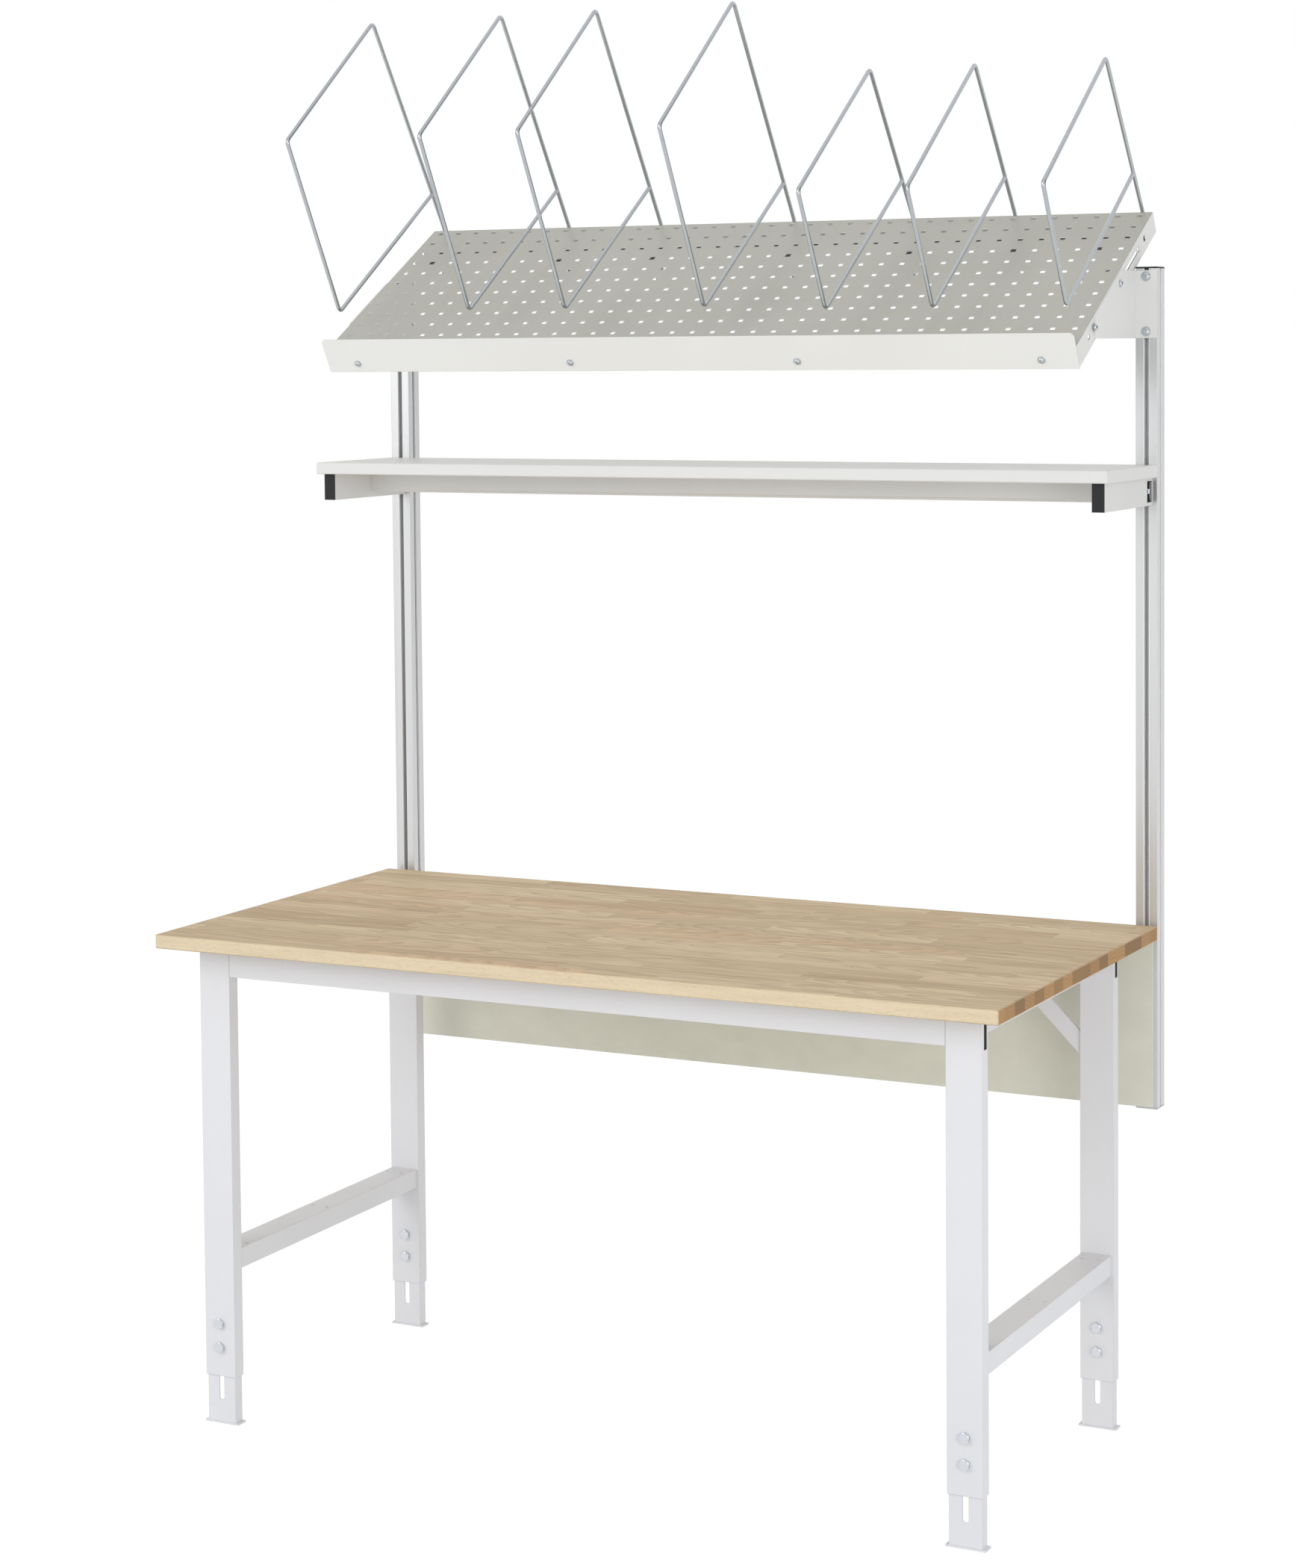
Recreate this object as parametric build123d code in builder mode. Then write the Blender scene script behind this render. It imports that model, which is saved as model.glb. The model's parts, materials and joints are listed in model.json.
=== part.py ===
from build123d import *
from math import cos, radians, sin, tan
import os

os.makedirs("parts", exist_ok=True)

# Packing table: X runs along the bench with 0 at its middle, Y runs from front to back,
# Z is up with the floor at 0. All sizes are in millimetres.

# Worktop
table_width = 1600.0
table_depth = 800.0
top_thickness = 25.0
top_height = 895.0
top_edge_chamfer = 1.5

# Outer leg tubes, open at the bottom, with an access window near the top of the outer side
tube_width = 62.0
tube_depth = 26.0
tube_wall = 2.0
leg_side_inset = 52.0
leg_front_inset = 63.0
tube_foot_height = 87.0
access_width = 14.0
access_setback = 9.5
access_height = 43.0
access_drop = 15.0

# Inner legs, channels open to the rear that telescope in the tubes, and their foot plates
glide_gap = 0.3
inner_wall = 2.0
inner_length = 440.0
slot_foot_height = 43.0
slot_length = 360.0
foot_plate_width = 70.0
foot_plate_depth = 24.0
foot_plate_thickness = 3.0

# Clamp bolts, two at the front of each leg, and the threaded plate behind them
clamp_bolt_diameter = 10.0
clamp_bolt_clearance = 0.15
clamp_head_flats = 17.0
hex_sides = 6
clamp_head_height = 6.4
clamp_bolt_rise = 52.5
clamp_bolt_pitch = 43.5
clamp_plate_width = 22.0
clamp_plate_margin = 14.0
clamp_plate_thickness = 6.0

# Rails and braces of the underframe
rail_height = 54.0
side_rail_width = 26.0
brace_width = 30.0
brace_thickness = 5.0
brace_setback = 5.0
brace_drop = 105.0
brace_angle = 45.0

# Low side rails: channels open below, with hole pairs for a shelf
low_rail_width = 54.0
low_rail_height = 36.0
low_rail_wall = 2.0
low_rail_floor_height = 280.0
shelf_hole_radius = 4.0
shelf_hole_spacing = 32.0
shelf_hole_end_inset = 38.0
shelf_hole_pairs = 3
holes_in_pair = 2

# Slotted uprights
upright_size = 40.0
upright_faces = 4
upright_length = 1504.5
upright_foot_height = 562.0
upright_setback = 22.0
upright_side_inset = 27.0
groove_opening = 9.0
groove_lip = 4.5
groove_width = 20.0
groove_wall_depth = 7.0
groove_floor_width = 11.0
groove_depth = 12.5
cap_thickness = 3.0

# Angle brackets that carry the uprights below the worktop
mount_thickness = 4.0
mount_flange_width = 53.0
mount_leg_gap = 3.0
mount_web_height = 90.0
mount_bolt_inset = 21.0

# Back panel, hung by two welded strips in the front grooves of the uprights
panel_height = 300.0
panel_sheet = 1.5
panel_side_margin = 8.0
panel_strip_depth = 6.0
panel_strip_gap = 0.2

# T-head bolts with square necks for the grooves
groove_neck = 8.0
groove_neck_clearance = 0.2
t_head_width = 15.0
t_head_length = 18.0
t_head_thickness = 5.0
groove_head_flats = 13.0
groove_head_height = 5.3

# Shelf on two arms
shelf_thickness = 22.0
shelf_depth = 276.0
shelf_width = 1588.0
shelf_top_height = 1718.0
shelf_upright_gap = 1.0
arm_width = 22.0
arm_height = 50.0
arm_reach = 262.0
arm_wall = 2.0
arm_end_plate = 3.0
arm_window_length = 27.0
arm_window_margin = 6.0
shelf_rail_height = 40.0
shelf_rail_sheet = 2.0
shelf_rail_flange = 30.0
shelf_rail_return = 12.0
shelf_rail_round = 5.0
shelf_rail_reach = 129.0

# Tray brackets, folded from sheet
bracket_sheet = 3.0
bracket_height = 120.0
bracket_top_drop = 3.5
bracket_reach = 218.0
bracket_bolt_inset_top = 10.5
bracket_bolt_inset_bottom = 12.0
bracket_bend_radius = 2.0

# Sloping perforated tray. Its own frame has s up the slope and n square to the sheet.
tray_tilt = 30.0
tray_pivot_reach = 119.0
tray_pivot_drop = 26.5
tray_sheet = 1.5
tray_front_s = -220.0
tray_rear_s = 260.0
tray_flange_depth = 40.0
tray_return_width = 25.0
hole_size = 10.0
hole_pitch = 40.5
hole_rows = 11
hole_rear_margin = 13.0
hole_side_margin = 21.0
side_hole_depth = 18.0
side_hole_rear_inset = 66.0
side_hole_front_inset = 64.0
side_slot_length = 88.0
side_slot_height = 8.0
side_slot_gap = 2.0

# Front lip of the tray
lip_height = 70.0
lip_rise = 27.0
lip_sheet = 2.0
lip_corner_radius = 9.0

# Wire dividers, hooked over the rear edge of the tray and into its holes
wire_radius = 3.25
rod_sides = 6
hook_drop = 52.0
hook_row = 3
loop_foot_gap = 55.0
loop_weld_rise = 84.0
plug_depth = 8.0
plug_gap = 0.2
divider_rear_gap = 0.8
tall_top = (230.0, 471.0)
tall_front = (-158.0, 415.0)
tall_foot_s = -164.0
short_top = (219.0, 328.0)
short_front = (-176.0, 289.0)
short_foot_s = -178.0

# One overrun for every cut that has to pass a face
overrun = 5.0

# Places worked out from the sizes above
slope = radians(tray_tilt)
wire_rear_s = tray_rear_s + divider_rear_gap + wire_radius
hook_low_n = -hook_drop - wire_radius
upright_reach = table_depth + upright_setback
pivot_reach = upright_reach - tray_pivot_reach
hook_corner_reach = (wire_rear_s + wire_radius) * cos(slope) - hook_low_n * sin(slope)
overall_depth = pivot_reach + hook_corner_reach
front_y = -overall_depth / 2
rear_y = front_y + table_depth

top_underside = top_height - top_thickness
leg_outer_x = table_width / 2 - leg_side_inset
leg_inner_x = leg_outer_x - tube_width
leg_centre_x = (leg_outer_x + leg_inner_x) / 2
leg_rows = (
    ("front", front_y + leg_front_inset),
    ("rear", rear_y - leg_front_inset - tube_depth),
)
sides = (("left", -1), ("right", 1))
front_leg_back_y = front_y + leg_front_inset + tube_depth
rear_leg_front_y = rear_y - leg_front_inset - tube_depth
side_span = rear_leg_front_y - front_leg_back_y
side_middle_y = (rear_leg_front_y + front_leg_back_y) / 2

upright_x = table_width / 2 - upright_side_inset
upright_face_y = front_y + upright_reach
upright_middle_y = upright_face_y + upright_size / 2
upright_inner_x = upright_x - upright_size / 2
upright_top = upright_foot_height + upright_length
neck_hole = groove_neck + 2 * groove_neck_clearance

inner_width = tube_width - 2 * (tube_wall + glide_gap)
inner_depth = tube_depth - 2 * (tube_wall + glide_gap)
inner_slot_width = clamp_bolt_diameter + 2 * clamp_bolt_clearance
clamp_heights = (
    tube_foot_height + clamp_bolt_rise,
    tube_foot_height + clamp_bolt_rise + clamp_bolt_pitch,
)
clamp_plate_inset = tube_wall + glide_gap + inner_wall + glide_gap
clamp_reach = clamp_plate_inset + clamp_plate_thickness

tray_half_width = upright_inner_x - bracket_sheet
bracket_top = upright_top - bracket_top_drop
pivot_y = front_y + pivot_reach
pivot_z = bracket_top + bracket_top_drop - tray_pivot_drop
tray_plane = Plane(
    origin=(0, pivot_y, pivot_z),
    x_dir=(1, 0, 0),
    z_dir=(0, -sin(slope), cos(slope)),
)
last_column = int((tray_half_width - hole_side_margin) // hole_pitch)
hole_columns = 2 * last_column + 1
row_rear_s = tray_rear_s - hole_rear_margin
rows_middle_s = row_rear_s - hole_pitch * (hole_rows - 1) / 2
tray_length = tray_rear_s - tray_front_s
flats_sideways = 180 / rod_sides
tray_middle_s = (tray_rear_s + tray_front_s) / 2


def upright_plane(y):
    """Vertical plane across the bench at depth y, facing the front."""
    return Plane.XZ.offset(-y)


def rod_outline(diameter, rotation=0, mode=Mode.ADD):
    """Six-sided outline of a round bar, drawn over its true diameter."""
    RegularPolygon(diameter / 2, rod_sides, major_radius=False, rotation=rotation, mode=mode)


def box_between(low, high, mode=Mode.ADD):
    """Solid block between two corners, drawn on the plane of its lowest face."""
    with BuildSketch(Plane.XY.offset(low[2])) as base:
        with Locations(((low[0] + high[0]) / 2, (low[1] + high[1]) / 2)):
            Rectangle(abs(high[0] - low[0]), abs(high[1] - low[1]))
    extrude(base.sketch, amount=high[2] - low[2], mode=mode)


# Worktop: one solid board with its edges broken
with BuildPart() as tabletop:
    box_between(
        (-table_width / 2, front_y, top_underside),
        (table_width / 2, rear_y, top_height),
    )
    chamfer(tabletop.edges(), length=top_edge_chamfer)
tabletop.part.label = "tabletop"
export_step(tabletop.part, "parts/tabletop.step")

# Underframe: four leg tubes and the legs that telescope in them
for row_name, tube_front_y in leg_rows:
    tube_middle_y = tube_front_y + tube_depth / 2
    access_middle_y = tube_front_y + access_setback + access_width / 2
    for side_name, side in sides:
        leg_x = side * leg_centre_x

        with BuildPart() as leg_tube:
            with BuildSketch(Plane.XY.offset(tube_foot_height)):
                with Locations((leg_x, tube_middle_y)):
                    Rectangle(tube_width, tube_depth)
                    Rectangle(
                        tube_width - 2 * tube_wall,
                        tube_depth - 2 * tube_wall,
                        mode=Mode.SUBTRACT,
                    )
            extrude(amount=top_underside - tube_foot_height)
            with BuildSketch(Plane.YZ.offset(side * leg_outer_x)):
                with Locations((access_middle_y, top_underside - access_drop - access_height / 2)):
                    Rectangle(access_width, access_height)
            extrude(amount=-side * (tube_wall + overrun), mode=Mode.SUBTRACT)
            with BuildSketch(upright_plane(tube_front_y)):
                for height in clamp_heights:
                    with Locations((leg_x, height)):
                        rod_outline(inner_slot_width, rotation=flats_sideways)
            extrude(amount=-(tube_wall + glide_gap), mode=Mode.SUBTRACT)
        leg_tube.part.label = f"leg_tube_{row_name}_{side_name}"
        export_step(leg_tube.part, f"parts/leg_tube_{row_name}_{side_name}.step")

        with BuildPart() as inner_leg:
            with BuildSketch(Plane.XY.offset(foot_plate_thickness)):
                with Locations((leg_x, tube_middle_y)):
                    Rectangle(inner_width, inner_depth)
                with Locations((leg_x, tube_middle_y + inner_wall / 2)):
                    Rectangle(
                        inner_width - 2 * inner_wall,
                        inner_depth - inner_wall,
                        mode=Mode.SUBTRACT,
                    )
            extrude(amount=inner_length)
            with BuildSketch(upright_plane(tube_middle_y)):
                with Locations((leg_x, slot_foot_height + inner_slot_width / 2)):
                    Circle(inner_slot_width / 2)
                    with Locations((0, slot_length / 2)):
                        Rectangle(inner_slot_width, slot_length)
            extrude(amount=inner_depth / 2 + overrun, mode=Mode.SUBTRACT)
        inner_leg.part.label = f"inner_leg_{row_name}_{side_name}"
        export_step(inner_leg.part, f"parts/inner_leg_{row_name}_{side_name}.step")

        with BuildPart() as foot_plate:
            box_between(
                (leg_x - foot_plate_width / 2, tube_middle_y - foot_plate_depth / 2, 0),
                (leg_x + foot_plate_width / 2, tube_middle_y + foot_plate_depth / 2, foot_plate_thickness),
            )
        foot_plate.part.label = f"foot_plate_{row_name}_{side_name}"
        export_step(foot_plate.part, f"parts/foot_plate_{row_name}_{side_name}.step")

# Clamp bolts and their threaded plates, eight bolts and four plates
with BuildPart() as clamp_bolts:
    for row_name, tube_front_y in leg_rows:
        for side_name, side in sides:
            for height in clamp_heights:
                with BuildSketch(upright_plane(tube_front_y)):
                    with Locations((side * leg_centre_x, height)):
                        RegularPolygon(clamp_head_flats / 2, hex_sides, major_radius=False)
                extrude(amount=clamp_head_height)
                with BuildSketch(upright_plane(tube_front_y)):
                    with Locations((side * leg_centre_x, height)):
                        rod_outline(clamp_bolt_diameter, rotation=flats_sideways)
                extrude(amount=-clamp_reach)
clamp_bolts.part.label = "clamp_bolts"
export_step(clamp_bolts.part, "parts/clamp_bolts.step")

with BuildPart() as clamp_plates:
    for row_name, tube_front_y in leg_rows:
        for side_name, side in sides:
            with BuildSketch(upright_plane(tube_front_y + clamp_plate_inset)):
                with Locations((side * leg_centre_x, sum(clamp_heights) / 2)):
                    Rectangle(clamp_plate_width, clamp_bolt_pitch + 2 * clamp_plate_margin)
                for height in clamp_heights:
                    with Locations((side * leg_centre_x, height)):
                        rod_outline(clamp_bolt_diameter, flats_sideways, Mode.SUBTRACT)
            extrude(amount=-clamp_plate_thickness)
clamp_plates.part.label = "clamp_plates"
export_step(clamp_plates.part, "parts/clamp_plates.step")

# Front and rear rails between the leg tubes
for row_name, tube_front_y in leg_rows:
    with BuildPart() as cross_rail:
        with BuildSketch(Plane.YZ.offset(-leg_inner_x)):
            with Locations((tube_front_y + tube_depth / 2, top_underside - rail_height / 2)):
                Rectangle(tube_depth, rail_height)
                Rectangle(
                    tube_depth - 2 * tube_wall,
                    rail_height - 2 * tube_wall,
                    mode=Mode.SUBTRACT,
                )
        extrude(amount=2 * leg_inner_x)
    cross_rail.part.label = f"{row_name}_rail"
    export_step(cross_rail.part, f"parts/{row_name}_rail.step")

for side_name, side in sides:
    # Upper side rail under the worktop
    with BuildPart() as side_rail:
        with BuildSketch(upright_plane(front_leg_back_y)):
            with Locations(
                (side * (leg_inner_x + side_rail_width / 2), top_underside - rail_height / 2)
            ):
                Rectangle(side_rail_width, rail_height)
                Rectangle(
                    side_rail_width - 2 * tube_wall,
                    rail_height - 2 * tube_wall,
                    mode=Mode.SUBTRACT,
                )
        extrude(amount=-side_span)
    side_rail.part.label = f"top_side_rail_{side_name}"
    export_step(side_rail.part, f"parts/top_side_rail_{side_name}.step")

    # Low side rail with its three pairs of holes
    with BuildPart() as low_rail:
        with BuildSketch(upright_plane(front_leg_back_y)):
            with Locations(
                (side * leg_centre_x, low_rail_floor_height + low_rail_height / 2)
            ):
                Rectangle(low_rail_width, low_rail_height)
            with Locations(
                (side * leg_centre_x, low_rail_floor_height + (low_rail_height - low_rail_wall) / 2)
            ):
                Rectangle(
                    low_rail_width - 2 * low_rail_wall,
                    low_rail_height - low_rail_wall,
                    mode=Mode.SUBTRACT,
                )
        extrude(amount=-side_span)
        with BuildSketch(Plane.XY.offset(low_rail_floor_height + low_rail_height)):
            with Locations((side * leg_centre_x, side_middle_y)):
                with GridLocations(
                    shelf_hole_spacing,
                    side_span / 2 - shelf_hole_end_inset,
                    holes_in_pair,
                    shelf_hole_pairs,
                ):
                    Circle(shelf_hole_radius)
        extrude(amount=-(low_rail_wall + overrun), mode=Mode.SUBTRACT)
    low_rail.part.label = f"low_side_rail_{side_name}"
    export_step(low_rail.part, f"parts/low_side_rail_{side_name}.step")

    # Flat brace from the rear leg up to the rear rail
    brace_slant = brace_width / cos(radians(brace_angle))
    with BuildPart() as brace:
        with BuildSketch(upright_plane(rear_leg_front_y + brace_setback)):
            with BuildLine():
                Polyline(
                    (side * leg_inner_x, top_underside - rail_height - brace_drop),
                    (side * leg_inner_x, top_underside - rail_height - brace_drop - brace_slant),
                    (side * (leg_inner_x - brace_drop - brace_slant), top_underside - rail_height),
                    (side * (leg_inner_x - brace_drop), top_underside - rail_height),
                    close=True,
                )
            make_face()
        extrude(amount=-brace_thickness)
    brace.part.label = f"rear_brace_{side_name}"
    export_step(brace.part, f"parts/rear_brace_{side_name}.step")

# Slotted uprights: a square bar with a T-groove down the middle of each face
groove_outline = (
    (-groove_opening / 2, 0),
    (-groove_opening / 2, -groove_lip),
    (-groove_width / 2, -groove_lip),
    (-groove_width / 2, -groove_wall_depth),
    (-groove_floor_width / 2, -groove_depth),
    (groove_floor_width / 2, -groove_depth),
    (groove_width / 2, -groove_wall_depth),
    (groove_width / 2, -groove_lip),
    (groove_opening / 2, -groove_lip),
    (groove_opening / 2, 0),
)


def turned_corner(x, y, turn):
    """A corner of the groove on the bar's rear face, turned by quarter turns to another face."""
    out = upright_size / 2 + y
    return ((x, out), (-out, x), (-x, -out), (out, -x))[turn]


for side_name, side in sides:
    upright_end = Plane((side * upright_x, upright_middle_y, upright_foot_height))

    with BuildPart() as upright:
        with BuildSketch(upright_end):
            Rectangle(upright_size, upright_size)
            for turn in range(upright_faces):
                with BuildLine():
                    Polyline(*[turned_corner(x, y, turn) for x, y in groove_outline], close=True)
                make_face(mode=Mode.SUBTRACT)
        extrude(amount=upright_length)
    upright.part.label = f"upright_{side_name}"
    export_step(upright.part, f"parts/upright_{side_name}.step")

    # Caps close both ends of the upright
    for cap_name, cap_low in (
        ("top", upright_top),
        ("bottom", upright_foot_height - cap_thickness),
    ):
        with BuildPart() as end_cap:
            with BuildSketch(Plane.XY.offset(cap_low)):
                with Locations((side * upright_x, upright_middle_y)):
                    Rectangle(upright_size, upright_size)
            extrude(amount=cap_thickness)
        end_cap.part.label = f"upright_{cap_name}_cap_{side_name}"
        export_step(end_cap.part, f"parts/upright_{cap_name}_cap_{side_name}.step")

    # Angle bracket between the worktop and the inner face of the upright
    mount_front_y = rear_y - leg_front_inset + mount_leg_gap
    mount_back_y = upright_face_y + upright_size
    with BuildPart() as upright_mount:
        mount_corner = (side * upright_inner_x, mount_back_y, top_underside)
        flange_x = side * (upright_inner_x - mount_flange_width)
        web_x = side * (upright_inner_x - mount_thickness)
        box_between((flange_x, mount_front_y, top_underside - mount_thickness), mount_corner)
        box_between((web_x, upright_face_y, top_underside - mount_web_height), mount_corner)
        with BuildSketch(Plane.YZ.offset(side * upright_inner_x)):
            for height in (
                top_underside - mount_bolt_inset,
                top_underside - mount_web_height + mount_bolt_inset,
            ):
                with Locations((upright_middle_y, height)):
                    Rectangle(neck_hole, neck_hole)
        extrude(amount=-side * (mount_thickness + overrun), mode=Mode.SUBTRACT)
    upright_mount.part.label = f"upright_mount_{side_name}"
    export_step(upright_mount.part, f"parts/upright_mount_{side_name}.step")


def groove_bolt(plane, plate_thickness, gap):
    """T-head bolt. Its plane lies on the grooved face and looks out of it, along the groove in local y."""
    with BuildSketch(plane.offset(-groove_lip - gap)) as t_head:
        Rectangle(t_head_width, t_head_length)
    extrude(t_head.sketch, amount=-t_head_thickness)
    with BuildSketch(plane.offset(-groove_lip - gap)) as neck:
        Rectangle(groove_neck, groove_neck)
    extrude(neck.sketch, amount=groove_lip + 2 * gap + plate_thickness)
    with BuildSketch(plane.offset(gap + plate_thickness)) as hex_head:
        RegularPolygon(groove_head_flats / 2, hex_sides, major_radius=False)
    extrude(hex_head.sketch, amount=groove_head_height)


with BuildPart() as mount_bolts:
    for side_name, side in sides:
        for height in (
            top_underside - mount_bolt_inset,
            top_underside - mount_web_height + mount_bolt_inset,
        ):
            inner_face = Plane(
                origin=(side * upright_inner_x, upright_middle_y, height),
                x_dir=(0, 1, 0),
                z_dir=(-side, 0, 0),
            )
            groove_bolt(inner_face, mount_thickness, 0)
mount_bolts.part.label = "upright_mount_bolts"
export_step(mount_bolts.part, "parts/upright_mount_bolts.step")

# Back panel with a strip behind each side that stands in the upright's front groove
panel_half_width = upright_x + upright_size / 2 - panel_side_margin
strip_outer_x = upright_x + groove_opening / 2 - panel_strip_gap
panel_face_y = upright_face_y - panel_sheet
panel_top = upright_foot_height + panel_height
with BuildPart() as back_panel:
    box_between(
        (-panel_half_width, panel_face_y, upright_foot_height),
        (panel_half_width, upright_face_y, panel_top),
    )
    for side_name, side in sides:
        box_between(
            (side * (strip_outer_x - panel_sheet), panel_face_y, upright_foot_height),
            (side * strip_outer_x, upright_face_y + panel_strip_depth, panel_top),
        )
    chamfer(
        back_panel.edges().filter_by(Axis.Z).group_by(Axis.Y)[0],
        length=panel_sheet / 2,
    )
back_panel.part.label = "back_panel"
export_step(back_panel.part, "parts/back_panel.step")

# Shelf board, its two arms and the rail between them
shelf_underside = shelf_top_height - shelf_thickness
shelf_rear_y = upright_face_y - shelf_upright_gap
arm_rear_y = upright_face_y - glide_gap
arm_front_y = upright_face_y - arm_reach
arm_middle_z = shelf_underside - arm_height / 2
with BuildPart() as shelf_board:
    box_between(
        (-shelf_width / 2, shelf_rear_y - shelf_depth, shelf_underside),
        (shelf_width / 2, shelf_rear_y, shelf_top_height),
    )
    chamfer(shelf_board.edges().filter_by(Axis.X).group_by(Axis.Y)[0], length=top_edge_chamfer)
shelf_board.part.label = "shelf_board"
export_step(shelf_board.part, "parts/shelf_board.step")

for side_name, side in sides:
    arm_x = side * upright_x
    with BuildPart() as shelf_arm:
        with BuildSketch(upright_plane(arm_front_y)):
            with Locations((arm_x, arm_middle_z)):
                Rectangle(arm_width, arm_height)
        extrude(amount=-(arm_rear_y - arm_front_y))
        with BuildSketch(upright_plane(arm_front_y)):
            with Locations((arm_x, arm_middle_z)):
                Rectangle(arm_width - 2 * arm_wall, arm_height - 2 * arm_wall)
        extrude(amount=-(arm_rear_y - arm_front_y - arm_end_plate), mode=Mode.SUBTRACT)
        window_middle_y = arm_rear_y - arm_end_plate - arm_window_length / 2
        with BuildSketch(Plane.YZ.offset(arm_x)):
            with Locations((window_middle_y, arm_middle_z)):
                Rectangle(arm_window_length, arm_height - 2 * arm_window_margin)
        extrude(amount=side * (arm_width / 2 + overrun), mode=Mode.SUBTRACT)
        with BuildSketch(upright_plane(arm_rear_y)):
            with Locations((arm_x, arm_middle_z)):
                Rectangle(neck_hole, neck_hole)
        extrude(amount=arm_end_plate + overrun, mode=Mode.SUBTRACT)
    shelf_arm.part.label = f"shelf_arm_{side_name}"
    export_step(shelf_arm.part, f"parts/shelf_arm_{side_name}.step")

    with BuildPart() as arm_cap:
        with BuildSketch(upright_plane(arm_front_y)):
            with Locations((arm_x, arm_middle_z)):
                Rectangle(arm_width, arm_height)
        extrude(amount=cap_thickness)
    arm_cap.part.label = f"shelf_arm_cap_{side_name}"
    export_step(arm_cap.part, f"parts/shelf_arm_cap_{side_name}.step")

with BuildPart() as shelf_bolts:
    for side_name, side in sides:
        front_face = Plane(
            origin=(side * upright_x, upright_face_y, arm_middle_z),
            x_dir=(1, 0, 0),
            z_dir=(0, -1, 0),
        )
        groove_bolt(front_face, arm_end_plate, glide_gap)
shelf_bolts.part.label = "shelf_bolts"
export_step(shelf_bolts.part, "parts/shelf_bolts.step")

shelf_rail_y = upright_face_y - shelf_rail_reach
with BuildPart() as shelf_rail:
    with BuildSketch(Plane.YZ.offset(-(upright_x - arm_width / 2))):
        with BuildLine():
            Polyline(
                (shelf_rail_y + shelf_rail_flange, shelf_underside),
                (shelf_rail_y, shelf_underside),
                (shelf_rail_y, shelf_underside - shelf_rail_height + shelf_rail_round),
            )
            RadiusArc(
                (shelf_rail_y, shelf_underside - shelf_rail_height + shelf_rail_round),
                (shelf_rail_y + shelf_rail_round, shelf_underside - shelf_rail_height),
                shelf_rail_round,
            )
            Polyline(
                (shelf_rail_y + shelf_rail_round, shelf_underside - shelf_rail_height),
                (shelf_rail_y + shelf_rail_return, shelf_underside - shelf_rail_height),
                (
                    shelf_rail_y + shelf_rail_return,
                    shelf_underside - shelf_rail_height + shelf_rail_sheet,
                ),
                (
                    shelf_rail_y + shelf_rail_round,
                    shelf_underside - shelf_rail_height + shelf_rail_sheet,
                ),
            )
            RadiusArc(
                (
                    shelf_rail_y + shelf_rail_round,
                    shelf_underside - shelf_rail_height + shelf_rail_sheet,
                ),
                (
                    shelf_rail_y + shelf_rail_sheet,
                    shelf_underside - shelf_rail_height + shelf_rail_round,
                ),
                -(shelf_rail_round - shelf_rail_sheet),
            )
            Polyline(
                (
                    shelf_rail_y + shelf_rail_sheet,
                    shelf_underside - shelf_rail_height + shelf_rail_round,
                ),
                (shelf_rail_y + shelf_rail_sheet, shelf_underside - shelf_rail_sheet),
                (shelf_rail_y + shelf_rail_flange, shelf_underside - shelf_rail_sheet),
                (shelf_rail_y + shelf_rail_flange, shelf_underside),
            )
        make_face()
    extrude(amount=2 * (upright_x - arm_width / 2))
shelf_rail.part.label = "shelf_rail"
export_step(shelf_rail.part, "parts/shelf_rail.step")

# Tray brackets: a flange on the upright's front and a web cut to the slope of the tray
bracket_front_y = upright_face_y - bracket_reach
bracket_rear_y = upright_face_y - glide_gap
bracket_bottom = bracket_top - bracket_height


def sheet_height(y):
    """Height of the tray's upper face at depth y."""
    return pivot_z + (y - pivot_y) * tan(slope)


bracket_crest_y = pivot_y + (bracket_top - pivot_z) / tan(slope)
bracket_bolt_heights = (
    bracket_top - bracket_bolt_inset_top,
    bracket_bottom + bracket_bolt_inset_bottom,
)
for side_name, side in sides:
    with BuildPart() as tray_bracket:
        with BuildSketch(Plane.YZ.offset(side * tray_half_width)):
            with BuildLine():
                Polyline(
                    (bracket_rear_y, bracket_top),
                    (bracket_crest_y, bracket_top),
                    (bracket_front_y, sheet_height(bracket_front_y)),
                    (bracket_front_y, bracket_bottom),
                    (bracket_rear_y, bracket_bottom),
                    close=True,
                )
            make_face()
        extrude(amount=side * bracket_sheet)
        box_between(
            (side * tray_half_width, bracket_rear_y - bracket_sheet, bracket_bottom),
            (side * (upright_x + upright_size / 2), bracket_rear_y, bracket_top),
        )
        upright_edges = tray_bracket.edges().filter_by(Axis.Z)
        inner_edges = upright_edges.group_by(lambda edge: side * edge.center().X)[0]
        fillet(inner_edges.sort_by(Axis.Y)[-1], radius=bracket_bend_radius)
        with BuildSketch(upright_plane(bracket_rear_y)):
            for height in bracket_bolt_heights:
                with Locations((side * upright_x, height)):
                    Rectangle(neck_hole, neck_hole)
        extrude(amount=bracket_sheet + overrun, mode=Mode.SUBTRACT)
    tray_bracket.part.label = f"tray_bracket_{side_name}"
    export_step(tray_bracket.part, f"parts/tray_bracket_{side_name}.step")

with BuildPart() as bracket_bolts:
    for side_name, side in sides:
        for height in bracket_bolt_heights:
            front_face = Plane(
                origin=(side * upright_x, upright_face_y, height),
                x_dir=(1, 0, 0),
                z_dir=(0, -1, 0),
            )
            groove_bolt(front_face, bracket_sheet, glide_gap)
bracket_bolts.part.label = "bracket_bolts"
export_step(bracket_bolts.part, "parts/bracket_bolts.step")

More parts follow.
